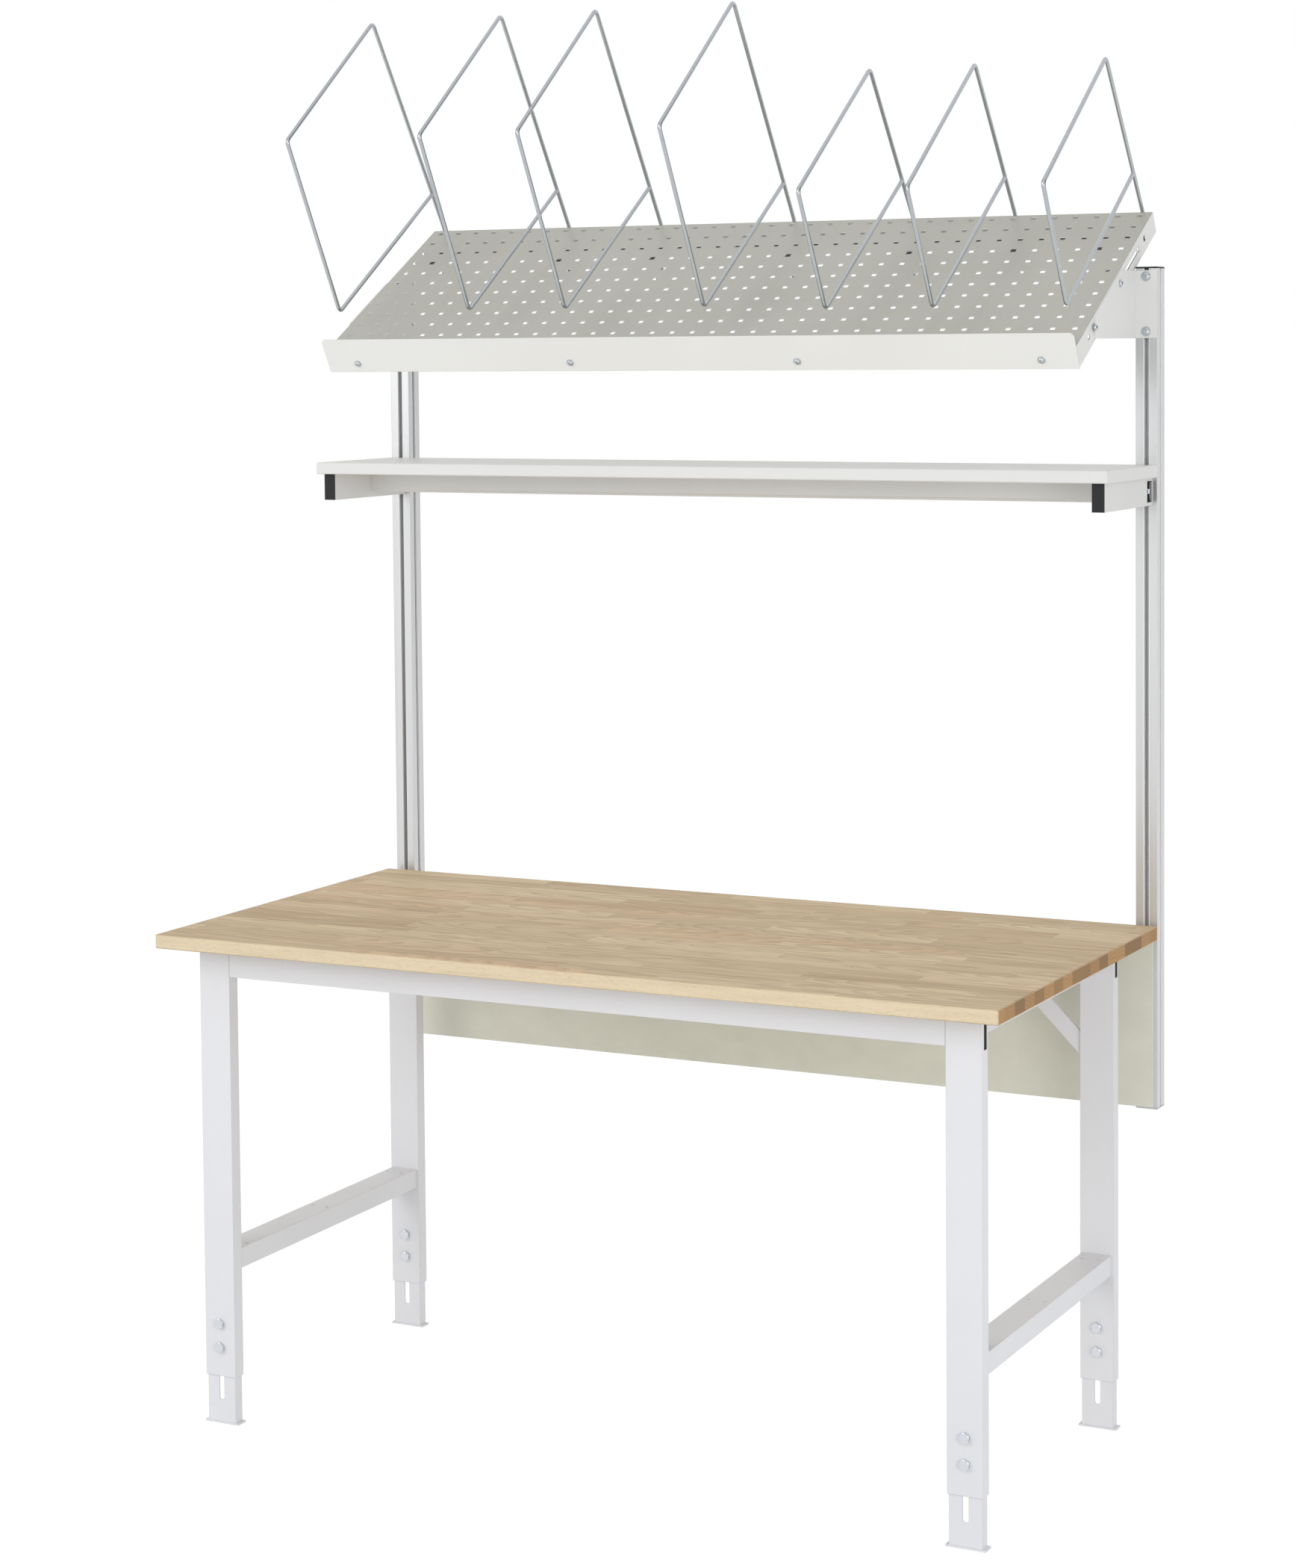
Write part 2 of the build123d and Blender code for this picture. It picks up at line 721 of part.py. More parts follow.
# Perforated tray: a sheet with flanges folded down all round and a return under its rear edge
with BuildPart() as tray:
    with BuildSketch(tray_plane):
        with Locations((0, tray_middle_s)):
            Rectangle(2 * tray_half_width, tray_length)
    extrude(amount=-tray_flange_depth)
    with BuildSketch(tray_plane.offset(-tray_sheet)):
        with Locations((0, tray_middle_s)):
            Rectangle(2 * (tray_half_width - tray_sheet), tray_length - 2 * tray_sheet)
    extrude(amount=-tray_flange_depth, mode=Mode.SUBTRACT)
    with BuildSketch(tray_plane.offset(-tray_flange_depth)):
        with Locations((0, tray_rear_s - tray_return_width / 2)):
            Rectangle(2 * tray_half_width, tray_return_width)
    extrude(amount=tray_sheet)
    with BuildSketch(tray_plane):
        with Locations((0, rows_middle_s)):
            with GridLocations(hole_pitch, hole_pitch, hole_columns, hole_rows):
                Rectangle(hole_size, hole_size)
    extrude(amount=-(tray_sheet + overrun), mode=Mode.SUBTRACT)
    side_plane = Plane(
        origin=tray_plane.from_local_coords((-tray_half_width - overrun, 0, -side_hole_depth)),
        x_dir=tray_plane.y_dir,
        z_dir=(1, 0, 0),
    )
    rear_hole_s = tray_rear_s - side_hole_rear_inset
    next_hole_s = rear_hole_s - hole_pitch
    with BuildSketch(side_plane):
        with Locations(
            (rear_hole_s, 0),
            (next_hole_s, 0),
            (tray_front_s + side_hole_front_inset, 0),
        ):
            Rectangle(hole_size, hole_size)
        with Locations((next_hole_s - hole_size / 2 - side_slot_gap - side_slot_length / 2, 0)):
            Rectangle(side_slot_length, side_slot_height)
    extrude(amount=2 * (tray_half_width + overrun), mode=Mode.SUBTRACT)
tray.part.label = "tray"
export_step(tray.part, "parts/tray.step")

# Front lip, a strip that stands above the sheet
with BuildPart() as front_lip:
    lip_plane = Plane(
        origin=tray_plane.from_local_coords((0, tray_front_s, lip_rise - lip_height / 2)),
        x_dir=(1, 0, 0),
        z_dir=-tray_plane.y_dir,
    )
    with BuildSketch(lip_plane):
        strip = Rectangle(2 * tray_half_width, lip_height)
        fillet(strip.vertices().group_by(Axis.Y)[-1], radius=lip_corner_radius)
    extrude(amount=lip_sheet)
front_lip.part.label = "front_lip"
export_step(front_lip.part, "parts/front_lip.step")

# Wire dividers: share of the way to the last column of holes, side of the hook, and height
divider_shares = (
    (-1.0, 1, "tall"),
    (-0.61, 1, "tall"),
    (-0.33, 1, "tall"),
    (0.06, 1, "tall"),
    (0.39, 1, "short"),
    (0.67, 1, "short"),
    (1.0, -1, "short"),
)
dividers = [(round(share * last_column), hook_side, kind) for share, hook_side, kind in divider_shares]
hook_s = row_rear_s - hook_row * hole_pitch
for index, (column, hook_side, kind) in enumerate(dividers, start=1):
    wire_x = column * hole_pitch
    hook_x = wire_x + hook_side * hole_pitch
    loop_top, loop_front, foot_s = (
        (tall_top, tall_front, tall_foot_s)
        if kind == "tall"
        else (short_top, short_front, short_foot_s)
    )
    knee_n = wire_radius
    weld_share = (loop_weld_rise - knee_n) / (loop_top[1] - knee_n)
    weld_s = wire_rear_s + weld_share * (loop_top[0] - wire_rear_s)
    route = [
        (hook_x, hook_s, -plug_depth),
        (hook_x, hook_s, -hook_drop),
        (wire_x, wire_rear_s, -hook_drop),
        (wire_x, wire_rear_s, knee_n),
        (wire_x, loop_top[0], loop_top[1]),
        (wire_x, loop_front[0], loop_front[1]),
        (wire_x, foot_s, loop_foot_gap),
        (wire_x, (foot_s + weld_s) / 2, (loop_foot_gap + loop_weld_rise) / 2),
    ]
    weld_point = (wire_x, weld_s, loop_weld_rise)
    places = [tray_plane.from_local_coords(point) for point in route]
    weld_place = tray_plane.from_local_coords(weld_point)

    with BuildPart() as divider:
        with BuildLine() as wire_line:
            Polyline(*places)
        with BuildSketch(Plane(origin=places[0], x_dir=(1, 0, 0), z_dir=places[1] - places[0])):
            rod_outline(2 * wire_radius)
        sweep(path=wire_line.line, transition=Transition.RIGHT)
        with BuildSketch(
            Plane(origin=places[-1], x_dir=(1, 0, 0), z_dir=weld_place - places[-1])
        ):
            rod_outline(2 * wire_radius)
        extrude(amount=(weld_place - places[-1]).length)
    divider.part.label = f"divider_{index}"
    export_step(divider.part, f"parts/divider_{index}.step")

# Square plugs that hold the hook ends in the perforation
with BuildPart() as divider_plugs:
    with BuildSketch(tray_plane):
        for column, hook_side, kind in dividers:
            with Locations(((column + hook_side) * hole_pitch, hook_s)):
                Rectangle(hole_size - 2 * plug_gap, hole_size - 2 * plug_gap)
    extrude(amount=-plug_depth)
divider_plugs.part.label = "divider_plugs"
export_step(divider_plugs.part, "parts/divider_plugs.step")
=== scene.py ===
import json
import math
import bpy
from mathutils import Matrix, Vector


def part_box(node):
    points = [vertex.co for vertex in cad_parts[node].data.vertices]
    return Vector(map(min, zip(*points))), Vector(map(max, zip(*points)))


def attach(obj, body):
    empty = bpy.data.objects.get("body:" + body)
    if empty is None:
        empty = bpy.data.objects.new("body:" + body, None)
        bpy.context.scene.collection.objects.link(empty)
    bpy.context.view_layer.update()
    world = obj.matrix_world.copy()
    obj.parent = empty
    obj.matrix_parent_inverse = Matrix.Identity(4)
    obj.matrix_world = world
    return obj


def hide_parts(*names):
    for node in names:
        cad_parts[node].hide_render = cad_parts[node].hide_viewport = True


bl_info = {
    "name": "Packing table",
    "version": (1, 0, 0),
    "blender": (4, 5, 0),
    "location": "View3D > Sidebar > Packing table",
    "description": "Finishes a packing table with sloping divider tray, shelf and beech worktop",
    "category": "Object",
}

import bpy
from mathutils import Matrix, Vector

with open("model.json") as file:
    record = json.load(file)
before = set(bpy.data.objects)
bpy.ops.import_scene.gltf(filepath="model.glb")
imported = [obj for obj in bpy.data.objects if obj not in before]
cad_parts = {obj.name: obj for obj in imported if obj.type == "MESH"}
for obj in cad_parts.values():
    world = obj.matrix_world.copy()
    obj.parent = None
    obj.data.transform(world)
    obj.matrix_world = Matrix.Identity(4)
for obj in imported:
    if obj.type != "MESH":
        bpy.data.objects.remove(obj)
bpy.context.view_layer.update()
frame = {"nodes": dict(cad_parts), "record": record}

MM = 0.001

# The photograph's view: a long lens just above head height, on the bench's right
CAMERA_PLACE = (2.58657, -5.22194, 1.943)
CAMERA_AZIMUTH = 26.787
CAMERA_DROP = 3.1726
CAMERA_ROLL = -0.4937
PHOTO_HEIGHT = 2100
FOCAL_PIXELS = 4355.77
AXIS_RISE_PIXELS = 350
SENSOR = 36
VIEW_END = 100

# Most of the floor's look is plain white to the eye, and the rest keeps the bench's shadow
FLOOR_SIZE = 40
FLOOR_WHITE_SHARE = 0.85
FLOOR_GLOW = 1.09

# Square soft boxes: name, place, point they face, width and watts
LAMPS = (
    ("key light", (-2.8, -4.6, 3.6), (0, 0, 1.0), 3.0, 70),
    ("fill light", (4.4, -3.6, 1.6), (0, 0, 1.1), 2.5, 56),
)

# The tray slopes up to the back. Places on it count from a point between its two long edges
TRAY_TILT = math.radians(30)
TRAY_FRONT = 220 * MM
TRAY_REAR = 260 * MM
RETURN_BELOW = 20 * MM

# Wire dividers, placed by the centre line of the CAD's wire
CAD_WIRE_RADIUS = 3.25 * MM
WIRE_BEND = 9 * MM
HOOK_BEND = 6 * MM
WIRE_SIDES = 16
BEND_STEP_DEGREES = 15
DIVIDER_COUNT = 7
TALL_ABOVE = 2.5

# Sleeves on the hooks' lower runs
SLEEVE_LENGTH = 18 * MM
SLEEVE_START = 7 * MM
SLEEVE_EDGE = 1 * MM

# Screws of the lip and of the bracket webs, and the sheets that the fasteners sit on
LIP_SCREWS_ACROSS = (-0.684, -0.228, 0.228, 0.684)
LIP_SCREW_DROP = 25 * MM
WEB_SCREWS = ((28 * MM, -17 * MM), (-128 * MM, -16 * MM))
LIP_SHEET = 2 * MM
BRACKET_SHEET = 3 * MM
ARM_END_PLATE = 3 * MM
BRACKET_BOLT_INSET = 9 * MM

# Beech staves of the worktop, and the pith that their growth rings run round
STAVE_WIDTH = 45.5 * MM
STAVE_LENGTHS = (0.28, 0.48)
PITH_HEIGHT = 0.865
RINGS_PER_METRE = 140.0
GLUE_LINE = 0.008

# Grooves of the uprights: half their mouth, the depth of the painted highlight on its lips, and
# that highlight's soft edge
HALF_MOUTH = 5.6 * MM
LIP_HIGHLIGHT_DEPTH = 4.5 * MM
LIP_HIGHLIGHT_EDGE = 0.2 * MM
LIP_HIGHLIGHT_TONE = (0.94, 0.94, 0.94)

# Powder paint, half the wall of a tube, the bare steel in the tubes, and painted shade on the
# tray's return
FLECKS_PER_METRE = 800.0
PEEL_PER_METRE = 620.0
HALF_WALL = 1 * MM
TUBE_STEEL = (0.11, 0.13, 0.112)
RETURN_PAINTED_SHADE = (0.05, 0.052, 0.05)

BLACK = (0.009, 0.010, 0.011)
WORN_BLACK = (0.018, 0.019, 0.021)


class Value:
    """One output of a node. Arithmetic on it adds the Math nodes."""

    def __init__(self, nodes, socket):
        self.nodes = nodes
        self.socket = socket

    def math(self, operation, *others, clamp=False):
        inputs = dict(enumerate((self, *others)))
        return self.nodes.add("Math", {"operation": operation, "use_clamp": clamp}, inputs)

    def __add__(self, other):
        return self.math("ADD", other)

    __radd__ = __add__

    def __mul__(self, other):
        return self.math("MULTIPLY", other)

    __rmul__ = __mul__

    def __sub__(self, other):
        return self.math("SUBTRACT", other)

    def __rsub__(self, other):
        return self.nodes.add("Math", {"operation": "SUBTRACT"}, {0: other, 1: self})

    def __truediv__(self, other):
        return self.math("DIVIDE", other)


class Nodes:
    """The nodes of a finish or of the studio's light."""

    def __init__(self, tree):
        self.tree = tree

    def add(self, kind, settings=None, inputs=None, output=0):
        """Adds a node, first its settings and then its sockets, and gives one of its outputs."""
        node = self.tree.nodes.new("ShaderNode" + kind)
        for key, setting in (settings or {}).items():
            setattr(node, key, setting)
        for key, value in (inputs or {}).items():
            if isinstance(value, Value):
                self.tree.links.new(value.socket, node.inputs[key])
            elif value is not None:
                node.inputs[key].default_value = value
        return Value(self, node.outputs[output])

    def place(self, stretch=(1, 1, 1)):
        """Object coordinates in metres, multiplied along each axis."""
        source = self.add("TexCoord", output="Object")
        return self.add("Mapping", None, {"Vector": source, "Scale": stretch})

    def axes(self, vector):
        """The three components of a vector."""
        split = self.add("SeparateXYZ", None, {0: vector})
        return [Value(self, output) for output in split.socket.node.outputs]

    def facing(self):
        """The true normal of the surface."""
        return self.add("NewGeometry", output="True Normal")

    def join(self, x, y, z=0.0):
        return self.add("CombineXYZ", None, {0: x, 1: y, 2: z})

    def noise(self, vector, scale, detail=2.0, roughness=0.5):
        sockets = {"Vector": vector, "Scale": scale, "Detail": detail, "Roughness": roughness}
        return self.add("TexNoise", None, sockets)

    def chance(self, x, y=0.0):
        """A random number from 0 to 1, the same wherever x and y are."""
        settings = {"noise_dimensions": "2D"}
        return self.add("TexWhiteNoise", settings, {"Vector": self.join(x, y)}, output="Value")

    def between(self, value, low, high, to_low=0.0, to_high=1.0):
        """Maps a range of a value to another, clamped."""
        sockets = {0: value, 1: low, 2: high, 3: to_low, 4: to_high}
        return self.add("MapRange", {"clamp": True}, sockets)

    def within(self, value, low, high):
        """1 where a value is further than half a wall inside a range, else 0."""
        middle, half = (low + high) / 2, (high - low) / 2 - HALF_WALL
        return (value - middle).math("ABSOLUTE").math("LESS_THAN", half)

    def blend(self, factor, first, second):
        """Mixes two colours."""
        ends = [(*c, 1) if isinstance(c, tuple) else c for c in (first, second)]
        return self.add("Mix", {"data_type": "RGBA"}, {0: factor, 6: ends[0], 7: ends[1]}, output=2)

    def ray(self, kind):
        """1 for light rays of one kind, else 0."""
        return self.add("LightPath", output=f"Is {kind} Ray")

    def link(self, value, kind, key):
        """Links a value to a socket of the tree's one node of that kind."""
        self.tree.links.new(value.socket, self.tree.nodes[kind].inputs[key])


class Finish(Nodes):
    """A procedural material with one Principled shader."""

    def __init__(self, name):
        self.material = bpy.data.materials.new(name)
        self.material.use_nodes = True
        super().__init__(self.material.node_tree)
        self.shader = self.tree.nodes["Principled BSDF"]

    def set(self, **sockets):
        """Sets or links the shader's sockets, with _ for a space in a name."""
        for key, value in sockets.items():
            socket = self.shader.inputs[key.replace("_", " ")]
            if isinstance(value, Value):
                self.tree.links.new(value.socket, socket)
            else:
                socket.default_value = (*value, 1) if isinstance(value, tuple) else value

    def bump(self, height, depth, edge=0.0):
        """Surface relief of a real depth in metres, over edges rounded to a radius."""
        rounded = self.add("Bevel", {"samples": 6}, {"Radius": edge}) if edge else None
        sockets = {"Height": height, "Distance": depth, "Normal": rounded}
        self.set(Normal=self.add("Bump", None, sockets))


def shade_of(colour, share):
    return tuple(share * c for c in colour)


def flecked(paint, tone, speck):
    """Scatters the fine specks of powder paint over a tone."""
    fleck = paint.noise(paint.place(), FLECKS_PER_METRE, 1.0)
    return paint.blend(paint.between(fleck, 0.6, 0.78, 0, 0.3), tone, speck)


def orange_peel(paint):
    return paint.noise(paint.place(), PEEL_PER_METRE, 2.0, 0.6)


def powder_coat(name, colour, joint=None, tube=None):
    """Baked powder paint: fine orange peel, a slight cloudiness and a soft sheen. joint is the
    distance from the middle at which a rail meets a leg, and tube a node that is bare inside."""
    paint = Finish(name)
    cloud = paint.noise(paint.place(), 4.0, 3.0)
    tone = paint.blend(paint.between(cloud, 0.35, 0.7), colour, shade_of(colour, 0.965))
    tone = flecked(paint, tone, shade_of(colour, 0.86))
    x, y, z = paint.axes(paint.place())
    if joint:
        line = paint.between(x.math("ABSOLUTE"), joint - 1.4 * MM, joint - 0.8 * MM)
        tone = paint.blend(line * 0.7, tone, shade_of(colour, 0.45))
    if tube:
        low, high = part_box(tube)
        inside = paint.within(x.math("ABSOLUTE"), low.x, high.x)
        inside = inside * paint.within(y, low.y, high.y) * paint.within(z, low.z, high.z)
        tone = paint.blend(inside, tone, TUBE_STEEL)
    paint.set(Base_Color=tone, Roughness=paint.between(cloud, 0.3, 0.7, 0.38, 0.47))
    paint.bump(orange_peel(paint), 0.06 * MM, 1.4 * MM)
    return paint.material


def tray_sheet(name, colour, shaded_upper):
    """Powder paint whose top face is smoother and carries painted shade, darker and warmer than the
    rest, with rubbed streaks.
    """
    paint = Finish(name)
    slope = (0, -math.sin(TRAY_TILT), math.cos(TRAY_TILT))
    product = {"operation": "DOT_PRODUCT"}
    up = paint.add("VectorMath", product, {0: paint.facing(), 1: slope}, output="Value")
    top = paint.between(up, 0.9, 0.98)
    x, y, z = paint.axes(paint.place())
    cloud = paint.noise(paint.place(), 3.0, 3.0)
    rubbed = paint.noise(paint.join(x * 90.0, y * 5.0, z * 5.0), 1.0, 3.0, 0.6)
    # Painted shade: the top face is painted darker and warmer, varied by cloud and rubbed streaks
    shade_and_wear = paint.blend(paint.between(cloud, 0.32, 0.7), shaded_upper, shade_of(shaded_upper, 0.9))
    shade_and_wear = paint.blend(paint.between(rubbed, 0.5, 0.75, 0, 0.35), shade_and_wear, shade_of(shaded_upper, 1.1))
    tone = paint.blend(top, colour, shade_and_wear)
    # The side of the return that looks up into the tray is painted near-black as painted shade
    pivot = on_slope(0, 0, 0)
    height = (y - pivot.y) * slope[1] + (z - pivot.z) * slope[2]
    tone = paint.blend(top * height.math("LESS_THAN", -RETURN_BELOW), tone, RETURN_PAINTED_SHADE)
    tone = flecked(paint, tone, shade_of(shaded_upper, 0.85))
    polish = 0.46 - top * 0.16 + paint.between(rubbed, 0.4, 0.7, 0, 0.08)
    paint.set(Base_Color=tone, Roughness=polish)
    paint.bump(orange_peel(paint), 0.05 * MM, 2 * MM)
    return paint.material


def beech_board(name, pale, mid, deep, strip, end):
    """Solid beech glued from short staves, oiled, with rings and flecks through its depth."""
    wood = Finish(name)
    x, y, z = wood.axes(wood.place())
    # Rows of staves, counted from well outside the board, each shifted and cut to its own length
    across = (y + 2.0) / STAVE_WIDTH
    row = across.math("FLOOR")
    row_draw = wood.chance(row)
    stave_length = wood.between(row_draw, 0, 1, *STAVE_LENGTHS)
    along = (x + 3.0 + row_draw * 1.7) / stave_length
    piece = along.math("FLOOR")
    draw, second, third = (wood.chance(row + shift, piece) for shift in (0.0, 40.0, 80.0))
    # Growth rings: shells round an axis under each stave, tilted so that the sawn face shows arches
    run = (along - piece - 0.5) * stave_length
    wander = wood.noise(wood.join(x * 5.0, row * 7.0, z * 8.0), 1.0, 3.0) - 0.5
    side_way = (across - row - 0.5) * STAVE_WIDTH + (draw - 0.5) * 0.06 + wander * 0.02
    down_way = z - PITH_HEIGHT + second * 0.05 + run * (third - 0.5) * 0.26 + wander * 0.03
    radius = (side_way * side_way + down_way * down_way).math("SQRT")
    rings = (radius * RINGS_PER_METRE + draw * 13.0).math("FRACT")
    ring_tone = wood.between(rings, 0.35, 0.85) * wood.between(rings, 1.0, 0.85)
    streaks = wood.noise(wood.join(x * 6.0, y * 110.0 + piece * 3.0, z * 110.0), 1.0, 4.0, 0.6)
    fibres = wood.noise(wood.join(x * 16.0, y * 900.0, z * 900.0), 1.0, 2.0, 0.6)
    flecks = wood.noise(wood.join(x * 120.0, y * 1400.0, z * 1400.0), 1.0, 1.0)
    ruddy = (1.08 * mid[0], 0.94 * mid[1], 0.86 * mid[2])
    tone = wood.blend(draw, shade_of(pale, 1.05), mid)
    for amount, colour in (
        (wood.between(second, 0.65, 1.0, 0, 0.5), deep),
        (wood.between(third, 0.6, 1.0, 0, 0.6), ruddy),
        (ring_tone * 0.45, shade_of(deep, 0.9)),
        (wood.between(streaks, 0.48, 0.68, 0, 0.38), deep),
        (wood.between(streaks, 0.5, 0.34, 0, 0.35), shade_of(pale, 1.08)),
        (wood.between(fibres, 0.4, 0.75, 0, 0.25), deep),
        (wood.between(flecks, 0.66, 0.8, 0, 0.3), shade_of(deep, 0.6)),
    ):
        tone = wood.blend(amount, tone, colour)
    end_x, front_y, _ = wood.axes(wood.facing())
    # The end grain drinks more oil: darker blocks, each with its own rings
    end_tone = wood.blend(wood.between(row_draw, 0.2, 0.8), shade_of(end, 0.56), end)
    end_tone = wood.blend(ring_tone * 0.35, end_tone, shade_of(end, 0.5))
    end_tone = wood.blend(wood.between(flecks, 0.5, 0.8, 0, 0.3), end_tone, shade_of(end, 0.45))
    tone = wood.blend(wood.between(end_x.math("ABSOLUTE"), 0.6, 0.9), tone, end_tone)
    # One pale unbroken strip closes the front edge
    dashes = wood.noise(wood.join(x * 90.0, y * 300.0, z * 900.0), 1.0, 1.0)
    strip_tone = wood.blend(wood.between(streaks, 0.4, 0.7), strip, shade_of(strip, 0.9))
    strip_tone = wood.blend(wood.between(dashes, 0.6, 0.72, 0, 0.4), strip_tone, deep)
    tone = wood.blend(wood.between(front_y, -0.6, -0.9), tone, strip_tone)
    wood.set(Base_Color=tone, Roughness=wood.between(fibres, 0.3, 0.7, 0.48, 0.62))
    wood.set(Specular_IOR_Level=0.25)
    glue_line = wood.between((across - row).math("PINGPONG", 0.5), 0, GLUE_LINE)
    wood.bump(glue_line * 0.6 + fibres * 0.5 - flecks * 0.4, 0.08 * MM, 2.2 * MM)
    return wood.material


def drawn_aluminium(name, colour, bar):
    """Satin anodised bar, with fine die lines along its length and a painted highlight on the lips
    of its grooves. bar is the node of the right bar; the left one mirrors it."""
    metal = Finish(name)
    lines = metal.noise(metal.place((2200, 2200, 2)), 1.0, 2.0)
    broad = metal.noise(metal.place((320, 320, 0.6)), 1.0, 2.0)
    cloud = metal.noise(metal.place((12, 12, 2)), 1.0, 2.0)
    tone = metal.blend(metal.between(lines, 0.3, 0.75), colour, shade_of(colour, 0.9))
    tone = metal.blend(metal.between(broad, 0.45, 0.7, 0, 0.5), tone, shade_of(colour, 0.84))
    x, y, _ = metal.axes(metal.place())
    low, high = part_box(bar)
    side_way = (x.math("ABSOLUTE") - (low.x + high.x) / 2).math("ABSOLUTE")
    depth_way = (y - (low.y + high.y) / 2).math("ABSOLUTE")
    reach = (high.x - low.x) / 2 - LIP_HIGHLIGHT_DEPTH
    beside = metal.between(
        side_way.math("MINIMUM", depth_way), HALF_MOUTH + LIP_HIGHLIGHT_EDGE, HALF_MOUTH - LIP_HIGHLIGHT_EDGE
    )
    outer = metal.between(side_way.math("MAXIMUM", depth_way), reach - LIP_HIGHLIGHT_EDGE, reach)
    # Painted highlight: the groove lips get a pale, less metallic tone
    lip = beside * outer
    metal.set(Base_Color=metal.blend(lip, tone, LIP_HIGHLIGHT_TONE), Metallic=0.8 - lip * 0.65)
    metal.set(Roughness=metal.between(cloud + lines * 0.4, 0.4, 1.0, 0.26, 0.4))
    metal.bump(lines + broad, 0.02 * MM, 1.5 * MM)
    return metal.material


def zinc_plate(name, colour, roughness, edge=0.5 * MM, spangle=1.0, relief=0.02 * MM):
    """Bright zinc plating with the cloudy spangle and hairlines of drawn steel."""
    zinc = Finish(name)
    cloud = zinc.noise(zinc.place(), 160.0, 3.0)
    hairline = zinc.noise(zinc.place((500, 500, 60)), 1.0, 2.0)
    tone = zinc.blend(zinc.between(cloud, 0.3, 0.7, 0, spangle), colour, shade_of(colour, 0.82))
    dark = zinc.between(cloud, 0.62, 0.75, 0, 0.3 * spangle)
    zinc.set(Base_Color=zinc.blend(dark, tone, shade_of(colour, 0.6)), Metallic=0.95)
    zinc.set(Roughness=zinc.between(hairline, 0.3, 0.7, roughness - 0.05, roughness + 0.08))
    zinc.bump(hairline, relief, edge)
    return zinc.material


def moulded_plastic(name, colour, pale):
    """Matt moulded plastic with spark-eroded grain."""
    plastic = Finish(name)
    grain = plastic.noise(plastic.place(), 1400.0, 2.0)
    plastic.set(Base_Color=plastic.blend(plastic.between(grain, 0.3, 0.7), colour, pale))
    plastic.set(Roughness=plastic.between(grain, 0.3, 0.7, 0.4, 0.56), Specular_IOR_Level=0.3)
    plastic.bump(grain, 0.08 * MM, 0.8 * MM)
    return plastic.material


def mottled_panel(name, colour):
    """Pale grey-green coat with the soft mottle and sandy peel of a thick textured paint."""
    panel = Finish(name)
    mottle = panel.noise(panel.place((1, 1, 1.6)), 16.0, 5.0, 0.55)
    sand = panel.noise(panel.place(), 260.0, 2.0)
    fine = panel.noise(panel.place(), 700.0, 2.0)
    tone = panel.blend(panel.between(mottle, 0.34, 0.7), colour, shade_of(colour, 0.93))
    tone = panel.blend(panel.between(sand, 0.35, 0.7, 0, 0.5), tone, shade_of(colour, 0.94))
    panel.set(Base_Color=tone, Roughness=panel.between(mottle, 0.3, 0.7, 0.45, 0.58))
    panel.bump(sand + fine * 0.5, 0.12 * MM, 0.8 * MM)
    return panel.material


def faced_board(name, colour, edging):
    """Board faced with a pale grey laminate of a fine pearl grain, with a plainer edging band."""
    board = Finish(name)
    pearl = board.noise(board.place(), 950.0, 2.0)
    cloud = board.noise(board.place(), 3.0, 2.0)
    face = board.blend(board.between(pearl, 0.35, 0.7), colour, shade_of(colour, 0.95))
    band = board.blend(board.between(cloud, 0.3, 0.7), edging, shade_of(edging, 0.97))
    top_z = board.axes(board.facing())[2]
    tone = board.blend(board.between(top_z.math("ABSOLUTE"), 0.6, 0.4), face, band)
    board.set(Base_Color=tone, Roughness=board.between(pearl, 0.3, 0.7, 0.38, 0.5))
    board.bump(pearl, 0.05 * MM, 1.2 * MM)
    return board.material


def select_none():
    bpy.ops.object.select_all(action="DESELECT")


def apply_place(piece):
    """Puts a piece's place, turn and scale into its mesh."""
    select_none()
    bpy.context.view_layer.objects.active = piece
    piece.select_set(True)
    bpy.ops.object.transform_apply(location=True, rotation=True, scale=True)


def coat(piece, material):
    piece.data.materials.clear()
    piece.data.materials.append(material)


def finish_nodes(slot_name, material):
    """Gives a finish to every CAD node that the record puts in this slot."""
    for entry in frame["record"]["subparts"]:
        if entry["material_slot"] == slot_name:
            coat(frame["nodes"][entry["node"]], material)


def at_rest(piece, material, body):
    """Puts a finished piece's place into its mesh, and hangs it on its body."""
    apply_place(piece)
    coat(piece, material)
    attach(piece, body)


def on_slope(x, along, above):
    """A place given along the tray's slope and square to it, in the bench's frame."""
    low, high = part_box("tray")
    cosine, sine = math.cos(TRAY_TILT), math.sin(TRAY_TILT)
    pivot = Vector((0, low.y + TRAY_FRONT * cosine, high.z - TRAY_REAR * sine))
    return pivot + Vector((x, along * cosine - above * sine, along * sine + above * cosine))


def edit_all():
    bpy.ops.object.mode_set(mode="EDIT")
    bpy.ops.mesh.select_all(action="SELECT")


def close_up(smooth_degrees):
    """Turns all faces outwards, leaves edit mode and smooths edges below an angle."""
    bpy.ops.mesh.select_all(action="SELECT")
    bpy.ops.mesh.normals_make_consistent(inside=False)
    bpy.ops.object.mode_set(mode="OBJECT")
    bpy.ops.object.shade_smooth_by_angle(angle=math.radians(smooth_degrees))


def draw_out(step):
    bpy.ops.mesh.extrude_region_move(TRANSFORM_OT_translate={"value": step})


